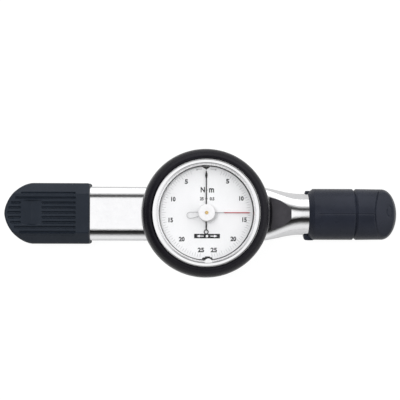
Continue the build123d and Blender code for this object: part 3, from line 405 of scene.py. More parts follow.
def lathe_z(name, profile, body, slot, cx=DIAL_X, cy=0.0, segments=256, replaces=(), angle=32.0, radius=None):
    """Ring from a closed profile of (radius, height) turned about a vertical axis."""
    n = len(profile)
    verts, faces = [], []
    for s in range(segments):
        a = 2 * math.pi * s / segments
        for r, z in profile:
            rr = radius(r, z, a) if radius else r
            verts.append((cx + rr * math.cos(a), cy + rr * math.sin(a), z))
    for s in range(segments):
        t = (s + 1) % segments
        for i in range(n):
            j = (i + 1) % n
            faces.append((s * n + i, t * n + i, t * n + j, s * n + j))
    area = sum(profile[i][0] * profile[(i + 1) % n][1] - profile[(i + 1) % n][0] * profile[i][1] for i in range(n))
    if area < 0:
        faces = [f[::-1] for f in faces]
    return put_mesh(name, verts, faces, body, slot, replaces, angle)


def sstep(a, b, x):
    t = min(max((x - a) / (b - a), 0.0), 1.0)
    return t * t * (3 - 2 * t)


# ================================================================ FRAME TUBE
def blend_s(x):
    t = min(max((x - NECK_X0) / (NECK_X1 - NECK_X0), 0.0), 1.0)
    return 0.5 * (1 + math.cos(math.pi * t))


TURN = math.radians(40)


def section_size(x, inset=0.0):
    """Half width, half height, crown radius, side radius and the ends of both flats."""
    s = blend_s(x)
    hw, hh = NECK_R + (15.75 - NECK_R) * s - inset, NECK_R + (6.9 - NECK_R) * s - inset
    r1, r2 = NECK_R - 0.01 + (10.0 - NECK_R + 0.01) * s - inset, NECK_R - 0.01 + (3.5 - NECK_R + 0.01) * s - inset
    y0 = hw - r1 * math.sin(TURN) - r2 * (1 - math.sin(TURN))
    z0 = hh - r1 * (1 - math.cos(TURN)) - r2 * math.cos(TURN)
    return hw, hh, r1, r2, y0, z0


def tube_top(x, y, inset=0.0):
    """Height of the tube's outside at (x, y)."""
    hw, hh, r1, r2, y0, z0 = section_size(x, inset)
    a = abs(y)
    if a <= y0:
        return TUBE_Z + hh
    if a - y0 <= r1 * math.sin(TURN):
        return TUBE_Z + hh - r1 + math.sqrt(r1 * r1 - (a - y0) ** 2)
    e = a - (hw - r2)
    return TUBE_Z + z0 + math.sqrt(max(r2 * r2 - e * e, 0.0))


def section_loop(x, inset):
    hw, hh, r1, r2, y0, z0 = section_size(x, inset)
    quarter = [(y0 * k / 6, hh) for k in range(6)]
    quarter += [(y0 + r1 * math.sin(TURN * k / 12), hh - r1 + r1 * math.cos(TURN * k / 12)) for k in range(12)]
    for k in range(13):
        a = TURN + (math.pi / 2 - TURN) * k / 12
        quarter.append((hw - r2 + r2 * math.sin(a), z0 + r2 * math.cos(a)))
    quarter.append((hw, z0 * 0.5))
    half = quarter + [(hw, 0.0)] + [(y, -z) for y, z in quarter[::-1]]
    full = half[:-1] + [(-y, z) for y, z in half[::-1][:-1]]
    return [(x, y, TUBE_Z + z) for y, z in full[::-1]]


def make_tube():
    xs = [20.5, 20.8, 24, 30] + list(np.arange(36, 130, 6.0)) + list(np.arange(130, 156.01, 0.65)) + list(np.arange(160, 204, 5.5)) + [204.7, 205.0]
    loops = []
    for i, x in enumerate(xs):
        loops.append(section_loop(x, 0.25 if i in (0, len(xs) - 1) else 0.0))
    for i, x in enumerate(xs[::-1]):
        loops.append(section_loop(x, 1.6))
    n = len(loops[0])
    verts = [v for l in loops for v in l]
    faces = []
    m = len(loops)
    for i in range(m):
        j = (i + 1) % m
        for k in range(n):
            l = (k + 1) % n
            faces.append((i * n + k, i * n + l, j * n + l, j * n + k))
    faces = [f[::-1] for f in faces]
    o = put_mesh("frame_tube_body", verts, faces, "root", "chrome", ("frame_tube",), 40.0, material="chrome_tube")
    cutters = [prism(ring_points(DIAL_X, 0, 4.0), 13.5, 25)]
    cutters += [prism(ring_points(DIAL_X + a, b, 1.3, 24), 13.5, 25) for a in (14, -14) for b in (6.5, -6.5)]
    cutters += [prism(ring_points(26.5, b, 1.25, 24), 0, 24) for b in (12.3, -12.3)]
    cutters += [prism(ring_points(a, 0, 1.55, 24), -4, 6) for a in (163.0, 175.0, 197.5)]
    return cut(o, cutters, 40.0)


make_tube()


# ================================================================ HEAD COVERS
NOSE_A, NOSE_P, NOSE_Q, CORNER = 16.2, 1.7, 1.8, 1.3


def nose_x(y):
    return -NOSE_A * max(1 - (abs(y) / HEAD_R) ** NOSE_P, 0.0) ** (1 / NOSE_Q)


def end_x(y, x1):
    """End of the shell at y, with its plan corners rounded."""
    e = abs(y) - (HEAD_R - CORNER)
    return x1 if e <= 0 else x1 - CORNER + math.sqrt(max(CORNER ** 2 - e * e, 0.0))


def outline_gap(x, y, x1):
    """Distance in from the outline, and its outward direction."""
    a = abs(y)
    sy = 1.0 if y > 0 else -1.0
    if x < 0:
        f = (-x / NOSE_A) ** NOSE_Q + (a / HEAD_R) ** NOSE_P
        gx = -NOSE_Q * (-x) ** (NOSE_Q - 1) / NOSE_A ** NOSE_Q
        gy = NOSE_P * a ** (NOSE_P - 1) / HEAD_R ** NOSE_P
        g = math.hypot(gx, gy)
        if g < 1e-6:
            return 10.0, (0.0, sy)
        return max(1 - f, 0.0) / g, (gx / g, sy * gy / g)
    ex, ey = x - (x1 - CORNER), a - (HEAD_R - CORNER)
    if ex > 0 and ey > 0:
        q = math.hypot(ex, ey) or 1e-6
        return CORNER - q, (ex / q, sy * ey / q)
    if x1 - x < HEAD_R - a:
        return x1 - x, (1.0, 0.0)
    return HEAD_R - a, (0.0, sy)


def cover_height(x, y, x1, flat, groove):
    """Height of the cover above the split, measured from the flat face (negative is lower)."""
    a = abs(y) - flat
    k = 0.55
    h = -max(k - abs(a), 0.0) ** 2 / (4 * k) - max(a, 0.0)
    d, way = outline_gap(x, y, x1)
    r = 1.1 - 0.45 * max(way[0], 0.0) if x > 0 else 1.1
    if d < r:
        h -= r - math.sqrt(max(r * r - (r - max(d, 0.0)) ** 2, 0.0))
    if groove:
        cutd = 0.0
        for i in range(-4, 5):
            yy = 0.3 + i * 2.82
            e = abs(y - yy)
            if e < 0.95:
                x_left = nose_x(yy) + 1.9 + 0.02 * yy * yy
                across = 1 - sstep(0.30, 0.80, e)
                along = sstep(x_left - 0.25, x_left + 0.45, x) * (1 - sstep(24.55, 24.95, x))
                cutd = max(cutd, 1.1 * across * along)
        # thumb scoop: two easy slopes meeting over the drive axis
        v = abs(x + 0.65)
        scoop = 0.0
        if v < 6.65:
            t = (math.sqrt(v * v + 0.36) - 0.6) / (math.sqrt(6.65 ** 2 + 0.36) - 0.6)
            scoop = 1.3 * (1 - t) * (1 - sstep(6.75, 7.35, abs(y - 0.4)))
        both = max(cutd, scoop)
        if scoop > 0 and cutd > 0:
            # grooves fade out in the scoop
            both = max(scoop, cutd * (1 - sstep(0.0, 0.22, scoop)))
        h -= both
    return h


def make_cover(name, node, upper):
    flat = 11.3 if upper else 12.4
    z_flat = 23.0 if upper else 0.6
    x1 = 32.7 if upper else 33.0
    sign = 1 if upper else -1
    rows = 300 if upper else 150
    ys = [HEAD_R * math.sin(math.radians(-90 + 180 * j / rows)) for j in range(rows + 1)]
    first = [((i / 100) ** 1.35) for i in range(101)] if upper else [((i / 40) ** 1.35) for i in range(41)]
    fixed = [20 + 0.5 * i for i in range(1, 8)] + [23.9, 24.2, 24.45, 24.6, 24.75, 24.9, 25.1, 25.5] + [26 + 0.75 * i for i in range(9)] + [32.2, 32.45, 32.6, 32.75, 32.87, 32.95, 33.0]
    if not upper:
        fixed = [21 + 1.5 * i for i in range(8)] + [32.2, 32.45, 32.6, 32.75, 32.87, 32.95, 33.0]
    cols = len(first) + len(fixed)
    grid = []
    for y in ys:
        nose = nose_x(y)
        stop = end_x(y, x1)
        row = [nose + (20 - nose) * u for u in first] + [x if x < 26 else 26 + (x - 26) / 7.0 * (stop - 26) for x in fixed]
        grid.append([(x, y, z_flat + sign * cover_height(x, y, x1, flat, upper)) for x in row])
    verts = [v for line in grid for v in line]
    faces = []
    for j in range(rows):
        for i in range(cols - 1):
            a = j * cols + i
            faces.append((a, a + 1, a + cols + 1, a + cols))
    # boundary loop: along y = -R, up the end, back along y = +R, down the nose
    loop = [i for i in range(cols)]
    loop += [j * cols + cols - 1 for j in range(1, rows + 1)]
    at_end = set(j * cols + cols - 1 for j in range(rows + 1))
    loop += [rows * cols + i for i in range(cols - 2, -1, -1)]
    loop += [j * cols for j in range(rows - 1, 0, -1)]
    z_split = 11.53 if upper else 11.47
    prev = loop
    steps = 7
    n = len(loop)
    bottoms, ways = [], []
    for v in loop:
        x, y, z = verts[v]
        zb = z_split
        if v in at_end and abs(y) < 15.82:
            zb = max(zb, tube_top(40.0, y, -0.08)) if upper else min(zb, 2 * TUBE_Z - tube_top(40.0, y, -0.08))
        bottoms.append(zb)
        if v in at_end:
            e = abs(y) - (HEAD_R - CORNER)
            ways.append((1.0, 0.0) if e <= 0 else (math.sqrt(max(1 - (e / CORNER) ** 2, 0.0)), math.copysign(min(e / CORNER, 1.0), y)))
        elif x < -1e-4:
            ways.append(outline_gap(x, y, x1)[1])
        else:
            ways.append((0.0, 1.0 if y > 0 else -1.0))
    for s in range(1, steps + 1):
        t = [0.15, 0.4, 0.65, 0.85, 0.95, 0.985, 1.0][s - 1]
        cur = []
        for k, v in enumerate(loop):
            x, y, z = verts[v]
            inset = 0.18 if s == steps else 0.0
            nx, ny = ways[k]
            zb = bottoms[k]
            z_new = z + (zb - z) * t
            lean = 0.9 * max(nx, 0.0) * (z - z_new) / (z - z_split) if v in at_end else 0.0
            cur.append(len(verts))
            verts.append((x - nx * inset + lean, y - ny * inset, z_new))
        for k in range(n):
            l = (k + 1) % n
            faces.append((prev[l], prev[k], cur[k], cur[l]))
        prev = cur
    if not upper:
        faces = [f[::-1] for f in faces]
    o = put_mesh(name, verts, faces, "root", "cover_plastic", (node,), 50.0)
    mod = o.modifiers.new("wall", "SOLIDIFY")
    mod.thickness = 1.3 * MM
    mod.offset = -1.0
    mod.use_rim = True
    bake_modifiers(o, 50.0)
    return o


upper_cover = make_cover("head_cover_top", "head_cover_upper", True)
lower_cover = make_cover("head_cover_bottom", "head_cover_lower", False)
holes = [prism(ring_points(0, 0, 9.2, 96), -3, 4)]
for sx, sy in ((-8.2, 8.2), (-8.2, -8.2), (14.5, 9.2), (14.5, -9.2)):
    holes.append(prism(ring_points(sx, sy, 1.3, 32), -1, 4))
    holes.append(cone(sx, sy, 0.3, 2.7, 1.75, 1.25, 48))
cut(lower_cover, holes, 40.0)


# ================================================================ GRIP
def grip_radius(x, phi):
    """Outside radius at x and at angle phi from straight up (radians, + towards -Y)."""
    r = GRIP_R
    # raised parting seam along the top, with a slightly flatter lower half beside it
    off = (phi * GRIP_R)
    seam_on = sstep(165.5, 167.0, x) * (1 - sstep(197.6, 198.4, x))
    tent = 0.55 * max(0.0, 1 - abs(phi) / math.radians(26)) ** 1.5
    line = math.exp(-((off - 0.1) / 0.32) ** 2) * 0.34
    r += seam_on * (tent - line)
    # ends and the V groove between the two pieces
    a = x - GRIP_X0
    if a < 3.0:
        r -= (3.0 - a) * 2.5 / 3.0
    g = abs(x - GRIP_SPLIT)
    if g < 1.15:
        r -= (1.15 - g) * 1.0 / 1.1
    return r


def dome_radius(x):
    t = (x - 203.9) / (GRIP_X1 - 203.9)
    if t <= 0:
        return GRIP_R - 0.15 * sstep(188.7, 203.9, x)
    return (GRIP_R - 0.15) * math.sqrt(max(1 - t * t, 0.0))


def grip_lathe(name, node, rows, segs=300):
    """rows: list of (x, radius function of phi) from the outside start round to the bore."""
    phis = []
    for s in range(segs):
        t = 2 * math.pi * s / segs
        # denser near the top seam
        phis.append(t - 0.55 * math.sin(t))
    n = len(rows)
    verts, faces = [], []
    for s in range(segs):
        phi = phis[s]
        p = phi if phi <= math.pi else phi - 2 * math.pi
        for x, fr in rows:
            r = fr(p) if callable(fr) else fr
            verts.append((x, -r * math.sin(phi), TUBE_Z + r * math.cos(phi)))
    for s in range(segs):
        t = (s + 1) % segs
        for i in range(n - 1):
            faces.append((s * n + i, s * n + i + 1, t * n + i + 1, t * n + i))
    return verts, faces, n, segs


def make_grip():
    # sleeve: closed ring profile
    rows = []
    xs = [160.35, 160.5, 160.8, 161.3, 162.0, 162.6, 163.0, 163.3, 163.6, 164.2, 165.0, 165.6, 166.2, 166.8, 167.4] + list(np.arange(168.5, 186, 1.25)) + [186.2, 186.4, 186.5, 186.7, 187.0, 187.3, 187.5, 187.57]
    for x in xs:
        def fr(phi, x=x):
            r = grip_radius(x, phi)
            # soften the two chamfer corners
            if 162.5 < x < 163.5:
                r -= 0.10 * (1 - abs(x - 163.0) / 0.5)
            return r
        rows.append((x, fr))
    rows = [(160.3, GRIP_BORE), (160.3, GRIP_R - 2.7)] + rows + [(187.57, GRIP_BORE + 0.6), (187.57, GRIP_BORE), (174.0, GRIP_BORE)]
    verts, faces, n, segs = grip_lathe("g", None, rows)
    for s in range(segs):
        t = (s + 1) % segs
        faces.append((s * n + n - 1, s * n, t * n, t * n + n - 1))
    o = put_mesh("grip_sleeve_body", verts, faces, "root", "grip_plastic", ("grip_sleeve",), 24.0)
    cut(o, [prism(ring_points(175.0, 0, 1.55, 32), -6, 4)], 24.0)

    # heel on the lower part of one side
    prof = rounded([(158.4, 12.15, 0.1), (158.4, 15.1, 1.1), (161.0, 15.35, 0.6), (163.6, 15.3, 0.8), (164.8, 14.7, 0.2), (164.8, 12.15, 0.1)], steps=6)
    phis = [math.radians(v) for v in np.linspace(91.0, 149.0, 60)]
    verts, faces = [], []
    m = len(prof)
    for k, phi in enumerate(phis):
        soft = 0.35 if k in (0, len(phis) - 1) else 0.0
        verts += [(x, -(r - soft * (r > 13)) * math.sin(phi), TUBE_Z + (r - soft * (r > 13)) * math.cos(phi)) for x, r in prof]
    for k in range(len(phis) - 1):
        for i in range(m):
            j = (i + 1) % m
            faces.append((k * m + i, k * m + j, (k + 1) * m + j, (k + 1) * m + i))
    faces.append(tuple(range(m))[::-1])
    faces.append(tuple(range((len(phis) - 1) * m, len(phis) * m)))
    put_mesh("grip_sleeve_heel", verts, faces, "root", "grip_plastic", (), 40.0)
    prof = rounded([(159.1, 12.15, 0.1), (159.1, 13.8, 0.5), (162.2, 13.8, 0.1), (162.2, 12.15, 0.1)], steps=5)
    m = len(prof)
    verts, faces = [], []
    for phi in phis:
        verts += [(x, r * math.sin(phi), TUBE_Z + r * math.cos(phi)) for x, r in prof]
    for k in range(len(phis) - 1):
        for i in range(m):
            j = (i + 1) % m
            faces.append((k * m + j, k * m + i, (k + 1) * m + i, (k + 1) * m + j))
    faces.append(tuple(range(m)))
    faces.append(tuple(range((len(phis) - 1) * m, len(phis) * m))[::-1])
    put_mesh("grip_sleeve_collar", verts, faces, "root", "grip_plastic", (), 40.0)

    # end cap: V-groove chamfer, body, witness step, dome
    def cap_r(x, phi):
        r = dome_radius(x)
        if x < 203.9:
            r += grip_radius(x, phi) - GRIP_R
        # the upper half beyond the witness line is a flatter face that slopes down
        c, y = math.cos(phi), math.sin(phi)
        if c > 0:
            d = x - 198.3
            fall = 0.36 * d
            if d > 0:
                flat = 18.0
                b = (flat - 15.0 + fall) * c
                low = -b + math.sqrt(max(b * b + flat ** 2 - (flat - 15.0 + fall) ** 2, 0.0))
                r = min(r, low)
            # edge of that face, where the flatter section leaves the round one
            edge = 0.0178 * (15.0 * y) ** 2
            r -= sstep(0.15, 0.5, c) * (0.48 - 0.2 * y) * math.exp(-((d - edge + 0.1) / 0.34) ** 2)
            # round moulding mark
            ring = math.hypot((x - 207.0) / 1.6, (-r * y - 1.6) / 3.1) - 1
            r -= 0.32 * math.exp(-(ring / 0.2) ** 2) * sstep(0.3, 0.6, c)
        return r

    rows = []
    xs = [187.63, 187.7, 187.9, 188.2, 188.5, 188.7, 188.8, 189.0, 189.4] + list(np.arange(190.5, 196.0, 1.25)) + list(np.arange(196.25, 203.9, 0.22)) + [203.9 + (GRIP_X1 - 203.9) * math.sin(math.radians(v)) for v in np.arange(1.5, 89.9, 2.2)]
    for x in xs:
        rows.append((x, lambda phi, x=x: cap_r(x, phi)))
    rows = [(205.6, GRIP_BORE), (187.63, GRIP_BORE), (187.63, GRIP_BORE + 0.6)] + rows
    verts, faces, n, segs = grip_lathe("g", None, rows)
    tip = len(verts)
    verts.append((GRIP_X1, 0, TUBE_Z))
    back = len(verts)
    verts.append((205.6, 0, TUBE_Z))
    for s in range(segs):
        t = (s + 1) % segs
        faces.append((s * n + n - 1, tip, t * n + n - 1))
        faces.append((back, s * n, t * n))
    o = put_mesh("grip_end_cap_body", verts, faces, "root", "grip_plastic", ("grip_end_cap",), 24.0)
    # round screw hole through the underside of the cap
    cut(o, [prism(ring_points(197.5, 0, 1.55, 32), -6, 4)], 24.0)
    return o


make_grip()


# ================================================================ NECK WEDGE
def make_wedge():
    half = math.asin(9.75 / 39.0)
    left = [(DIAL_X + 39 * math.cos(a), 39 * math.sin(a)) for a in np.linspace(-half, half, 33)]
    up = catmull([left[-1], (142.6, 8.15), (146.2, 6.15), (148.6, 4.3), (150.0, 2.9)], 8)
    end = [(150.0, y) for y in np.linspace(2.9, -2.9, 9)]
    down = [(x, -y) for x, y in up[::-1]]
    outline = left + up[1:] + end[1:-1] + down[:-1]
    n = len(outline)
    cx, cy = 143.6, 0.0
    z_plane = lambda x: 22.6 + (x - 130) / 30.0
    verts, faces = [], []
    loops = []
    rr = 0.45

    def shift(p, d):
        x, y = p
        q = math.hypot(x - cx, y - cy)
        return (x - (x - cx) / q * d, y - (y - cy) / q * d)

    def add(pts3):
        idx = list(range(len(verts), len(verts) + n))
        verts.extend(pts3)
        loops.append(idx)

    # side wall from the tube up
    for t in (0.0, 0.25, 0.5, 0.75, 1.0):
        pts = []
        for x, y in outline:
            z0, z1 = tube_top(x, y) + 0.04, z_plane(x) - rr
            z0 = min(z0, z1 - 0.02)
            pts.append((x, y, z0 + (z1 - z0) * t))
        add(pts)
    for k in range(1, 6):
        a = math.radians(18 * k)
        add([(*shift(p, rr * (1 - math.cos(a))), z_plane(p[0]) - rr + rr * math.sin(a)) for p in outline])
    inner = [shift(p, rr) for p in outline]
    for s in (0.9, 0.75, 0.55, 0.3, 0.1):
        add([(cx + (x - cx) * s, cy + (y - cy) * s, z_plane(cx + (x - cx) * s)) for x, y in inner])
    for a, b in zip(loops, loops[1:]):
        for k in range(n):
            l = (k + 1) % n
            faces.append((a[k], a[l], b[l], b[k]))
    top = len(verts)
    verts.append((cx, cy, z_plane(cx)))
    for k in range(n):
        faces.append((loops[-1][k], loops[-1][(k + 1) % n], top))
    # underside follows the tube
    prev = loops[0]
    for s in (0.8, 0.55, 0.3, 0.1):
        cur = list(range(len(verts), len(verts) + n))
        for x, y in outline:
            u, v = cx + (x - cx) * s, cy + (y - cy) * s
            verts.append((u, v, tube_top(u, v) + 0.04))
        for k in range(n):
            l = (k + 1) % n
            faces.append((prev[l], prev[k], cur[k], cur[l]))
        prev = cur
    low = len(verts)
    verts.append((cx, cy, tube_top(cx, cy) + 0.04))
    for k in range(n):
        faces.append((prev[(k + 1) % n], prev[k], low))
    put_mesh("neck_wedge_body", verts, faces, "root", "wedge_plastic", ("neck_wedge",), 38.0)


make_wedge()


# ================================================================ BEZEL, GUARD, KNOB
bezel_profile = rounded([
    (28.80, 37.0, 0.1), (30.4, 37.0, 0.25), (30.4, 49.6, 0.3), (30.2, 49.93, 0.15), (29.6, 50.0, 0.3), (28.3, 50.0, 0.3), (27.95, 49.9, 0.1),
    (27.65, 49.3, 0.1), (27.4, 49.72, 0.12), (26.95, 49.72, 0.15), (26.65, 49.3, 0.1), (26.65, 48.0, 0.05), (28.30, 48.0, 0.05), (28.30, 43.0, 0.05),
    (28.80, 42.9, 0.05), (28.80, 40.09, 0.0), (29.10, 39.95, 0.0), (29.22, 39.6, 0.0), (29.10, 39.25, 0.0), (28.80, 39.11, 0.0)], steps=5)
bezel = lathe_z("bezel_ring", bezel_profile, "bezel_group", "chrome", segments=320, replaces=("bezel",), angle=30)
seat = [(DIAL_X + 1.15 + 2.09 * math.cos(t), -27.6 + 2.09 * math.sin(t)) for t in np.linspace(0, 2 * math.pi, 65)[:-1]]
lim = 28.09
seat = [p if math.hypot(p[0] - DIAL_X, p[1]) <= lim else (DIAL_X + (p[0] - DIAL_X) * lim / math.hypot(p[0] - DIAL_X, p[1]), p[1] * lim / math.hypot(p[0] - DIAL_X, p[1])) for p in seat]
cut(bezel, [prism(seat, 47.99, 51)], 30.0)

guard_line = [(34.2, 27.4), (31.2, 27.2), (30.45, 28.2), (30.45, 36.0), (30.45, 44.0)]
guard_lip = catmull([(30.45, 44.0), (30.55, 47.9), (31.0, 48.75), (31.9, 49.15), (32.9, 48.6), (34.35, 47.2), (35.9, 44.0), (36.55, 38.5), (36.55, 34.0), (35.9, 29.8), (34.2, 27.4)], 7)
lathe_z("bezel_guard_ring", guard_line[1:-1] + guard_lip, "bezel_group", "guard_rubber", segments=320, replaces=("bezel_guard",), angle=42)


def knob_radius(r, z, a):
    if r > 4.0 and 48.3 < z < 51.5:
        return r - 0.22 * max(0.0, math.cos(30 * a)) ** 2
    return r


knob_profile = rounded([(1.02, 48.2, 0.0), (4.7, 48.2, 0.15), (4.7, 51.4, 0.0), (4.7, 52.2, 0.6), (1.02, 52.2, 0.12)], steps=6)
knob_profile = [p for p in knob_profile]
lathe_z("peak_knob_turned", knob_profile, "peak_hand", "knob_white", segments=360, replaces=("peak_knob",), angle=30, radius=knob_radius)


# ================================================================ MEASURING BEAM AND DETENT SPRING
def make_beam():
    z0, z1, y = 6.9, 11.9, 2.93
    sec = rounded([(-y, z0, 0.3), (y, z0, 0.3), (y, z1, 0.3), (-y, z1, 0.3)], steps=3)
    xs = [-5.4, -5.2] + list(np.linspace(-4.0, 162.0, 120)) + [163.6, 163.8]
    verts, faces = [], []
    n = len(sec)
    for i, x in enumerate(xs):
        k = 0.965 if i in (0, len(xs) - 1) else 1.0
        verts += [(x, a * k, 9.4 + (b - 9.4) * k) for a, b in sec]
    for i in range(len(xs) - 1):
        for k in range(n):
            l = (k + 1) % n
            faces.append((i * n + k, (i + 1) * n + k, (i + 1) * n + l, i * n + l))
    faces.append(tuple(range(n)))
    faces.append(tuple(range((len(xs) - 1) * n, len(xs) * n))[::-1])
    faces = [f[::-1] for f in faces]
    o = put_mesh("measuring_beam_bar", verts, faces, None, "tool_steel", ("measuring_beam",), 30.0)
    cut(o, [prism(ring_points(a, 0, 1.02, 24), 4, 14) for a in (-3.0, 4.0)], 30.0)
    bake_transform(o)


make_beam()


def make_detent_spring():
    y0, length, turns, big, wire, steps, sides = 0.765, 2.07, 4, 0.85, 0.13, 112, 10
    verts, faces = [], []
    rise = length / turns / (2 * math.pi)
    k = math.hypot(big, rise)
    for i in range(steps + 1):
        t = 2 * math.pi * turns * i / steps
        c, s = math.cos(t), math.sin(t)
        for j in range(sides):
            a = 2 * math.pi * j / sides
            # outward part and the part square to the wire's direction
            u, v = wire * math.cos(a), wire * math.sin(a)
            verts.append(((big + u) * c + v * s * rise / k, y0 + rise * t + v * big / k, -5.6 - (big + u) * s + v * c * rise / k))
    for i in range(steps):
        for j in range(sides):
            l = (j + 1) % sides
            faces.append((i * sides + j, i * sides + l, (i + 1) * sides + l, (i + 1) * sides + j))
    faces.append(tuple(range(sides))[::-1])
    faces.append(tuple(range(steps * sides, (steps + 1) * sides)))
    o = put_mesh("detent_spring_coil", verts, faces, None, "spring_steel", ("detent_spring",), 60.0)
    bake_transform(o)


make_detent_spring()


# ================================================================ DIAL MARKINGS
MARK_Z = FACE_Z + 0.015


def strip(points, width, z=MARK_Z, lift=0.02):
    """Thin raised line through points (dial millimetres)."""
    left, right = [], []
    for i, (x, y) in enumerate(points):
        x0, y0 = points[max(i - 1, 0)]
        x1, y1 = points[min(i + 1, len(points) - 1)]
        q = math.hypot(x1 - x0, y1 - y0)
        nx, ny = -(y1 - y0) / q * width / 2, (x1 - x0) / q * width / 2
        left.append((DIAL_X + x + nx, y + ny))
        right.append((DIAL_X + x - nx, y - ny))
    return plate(left + right[::-1], z, lift)


def plate(outline, z=MARK_Z, lift=0.02):
    n = len(outline)
    v = [(x, y, z) for x, y in outline] + [(x, y, z + lift) for x, y in outline]
    area = sum(outline[i][0] * outline[(i + 1) % n][1] - outline[(i + 1) % n][0] * outline[i][1] for i in range(n))
    f = [tuple(range(n))[::-1], tuple(range(n, 2 * n))] + [(i, (i + 1) % n, n + (i + 1) % n, n + i) for i in range(n)]
    if area < 0:
        f = [q[::-1] for q in f]
    return v, f


def merge(parts):
    verts, faces = [], []
    for v, f in parts:
        k = len(verts)
        verts += v
        faces += [tuple(i + k for i in q) for q in f]
    return verts, faces


def glyphs(body, x, y, height, squeeze=0.86, weight=0.0, z=MARK_Z, lift=0.02):
    """Figures or a unit symbol, centred at (x, y) on the dial."""
    c = bpy.data.curves.new("glyphs", "FONT")
    c.body = body
    c.size = 1.0
    c.align_x, c.align_y = "CENTER", "CENTER"
    c.offset = weight
    c.resolution_u = 4
    o = bpy.data.objects.new("glyphs", c)
    bpy.context.scene.collection.objects.link(o)
    dg = bpy.context.evaluated_depsgraph_get()
    me = bpy.data.meshes.new_from_object(o.evaluated_get(dg), depsgraph=dg)
    co = np.array([v.co for v in me.vertices], float)
    polys = [tuple(p.vertices) for p in me.polygons]
    bpy.data.objects.remove(o)
    lo, hi = co.min(0), co.max(0)
    k = height / (hi[1] - lo[1])
    px = (co[:, 0] - (lo[0] + hi[0]) / 2) * k * squeeze + DIAL_X + x
    py = (co[:, 1] - (lo[1] + hi[1]) / 2) * k + y
    n = len(px)
    verts = [(a, b, z) for a, b in zip(px, py)] + [(a, b, z + lift) for a, b in zip(px, py)]
    faces = []
    edges = {}
    for p in polys:
        a = sum(px[p[i]] * py[p[(i + 1) % len(p)]] - px[p[(i + 1) % len(p)]] * py[p[i]] for i in range(len(p)))
        if a < 0:
            p = p[::-1]
        faces.append(tuple(i + n for i in p))
        faces.append(tuple(p)[::-1])
        for i in range(len(p)):
            e = (p[i], p[(i + 1) % len(p)])
            if (e[1], e[0]) in edges:
                del edges[(e[1], e[0])]
            else:
                edges[e] = True
    for a, b in edges:
        faces.append((a, b, b + n, a + n))
    return verts, faces


PER_NM = math.radians(6.88)
SHIFT = {(5, -1): (0.42, 0.63), (5, 1): (0.42, 0.89), (10, -1): (0.68, 0.26), (10, 1): (0.68, 0.78), (15, -1): (0.1, 0.63),
         (15, 1): (1.57, 0.94), (20, -1): (0.16, 0.42), (20, 1): (1.46, 0.63), (25, -1): (0.63, 0.52), (25, 1): (0.78, 0.52)}
figures = []
for side in (1, -1):
    for value in (5, 10, 15, 20, 25):
        a = side * value * PER_NM
        r = 20.6 if value < 25 else 21.6
        x, y = r * math.sin(a), r * math.cos(a)
        if value == 25:
            x = side * 3.55
        dx, dy = SHIFT[(value, side)]
        figures.append(glyphs(str(value), x + dx, y + dy, 2.65, {5: 1.12, 10: 0.88, 15: 0.9, 20: 0.95, 25: 1.08}[value], 0.045))
put_mesh("dial_figures", *merge(figures), "bezel_group", "dial_white", material="ink")

unit = [glyphs("N", -1.95, 13.1, 3.1, 0.84, 0.036), glyphs("m", 3.0, 12.75, 2.45, 0.84, 0.036),
        plate([(DIAL_X + 0.75 + dx, 12.9 + dy) for dx, dy in ((-0.2, -0.2), (0.2, -0.2), (0.2, 0.2), (-0.2, 0.2))])]
put_mesh("dial_unit", *merge(unit), "bezel_group", "dial_white", material="ink")

small = [glyphs("25", -2.5, 8.0, 1.9, 0.9, 0.045), glyphs("0.5", 3.3, 8.0, 1.9, 0.9, 0.045), strip([(-0.6, 8.0), (0.9, 8.0)], 0.28)]
put_mesh("dial_range_figures", *merge(small), "bezel_group", "dial_white", material="ink")

fine, coarse = [], []
for side in (1, -1):
    for half_nm in range(6, 51):
        v = half_nm / 2
        a = side * v * PER_NM
        major = half_nm % 10 == 0
        whole = half_nm % 2 == 0
        r0 = 22.9 if major or whole else 23.5
        line = strip([(r0 * math.sin(a), r0 * math.cos(a)), (25.1 * math.sin(a), 25.1 * math.cos(a))], 0.15 if major else 0.12)
        (coarse if major else fine).append(line)
put_mesh("dial_graduation_fine", *merge(fine), "bezel_group", "dial_white", material="ink_grey")
put_mesh("dial_graduation_main", *merge(coarse), "bezel_group", "dial_white", material="ink_grey")

# direction arrows beside the index, and a plain band with a two-way arrow
arrows = []
for side in (1, -1):
    arc = [(24.9 * math.sin(side * t), 24.9 * math.cos(side * t)) for t in np.linspace(math.radians(5.5), math.radians(12.0), 7)]
    arrows.append(strip(arc, 0.22))
    t = math.radians(13.6)
    tip = (24.9 * math.sin(side * t), 24.9 * math.cos(side * t))
    b = math.radians(11.6)
    arrows.append(plate([(DIAL_X + x, y) for x, y in (tip, (25.35 * math.sin(side * b), 25.35 * math.cos(side * b)), (24.45 * math.sin(side * b), 24.45 * math.cos(side * b)))]))
put_mesh("dial_direction_arrows", *merge(arrows), "bezel_group", "dial_white", material="ink_grey")

band = [plate([(DIAL_X + 0.5 + dx, -13.05 + dy) for dx, dy in rounded([(-7.3, -1.27, 0.2), (7.3, -1.27, 0.2), (7.3, 1.27, 0.2), (-7.3, 1.27, 0.2)])])]
put_mesh("dial_band", *merge(band), "bezel_group", "dial_white", material="ink_black")
sign = []
for s in (1, -1):
    sign.append(plate([(DIAL_X + 0.5 + s * x, -13.05 + y) for x, y in ((5.9, 0.0), (4.0, 0.78), (4.0, 0.24), (1.9, 0.24), (1.9, -0.24), (4.0, -0.24), (4.0, -0.78))], MARK_Z + 0.022))
sign.append(plate([(DIAL_X + 0.5 + x, -13.05 + y) for x, y in ring_points(0, 0, 0.72, 24)], MARK_Z + 0.022))
put_mesh("dial_band_sign", *merge(sign), "bezel_group", "dial_white", material="dial_white")


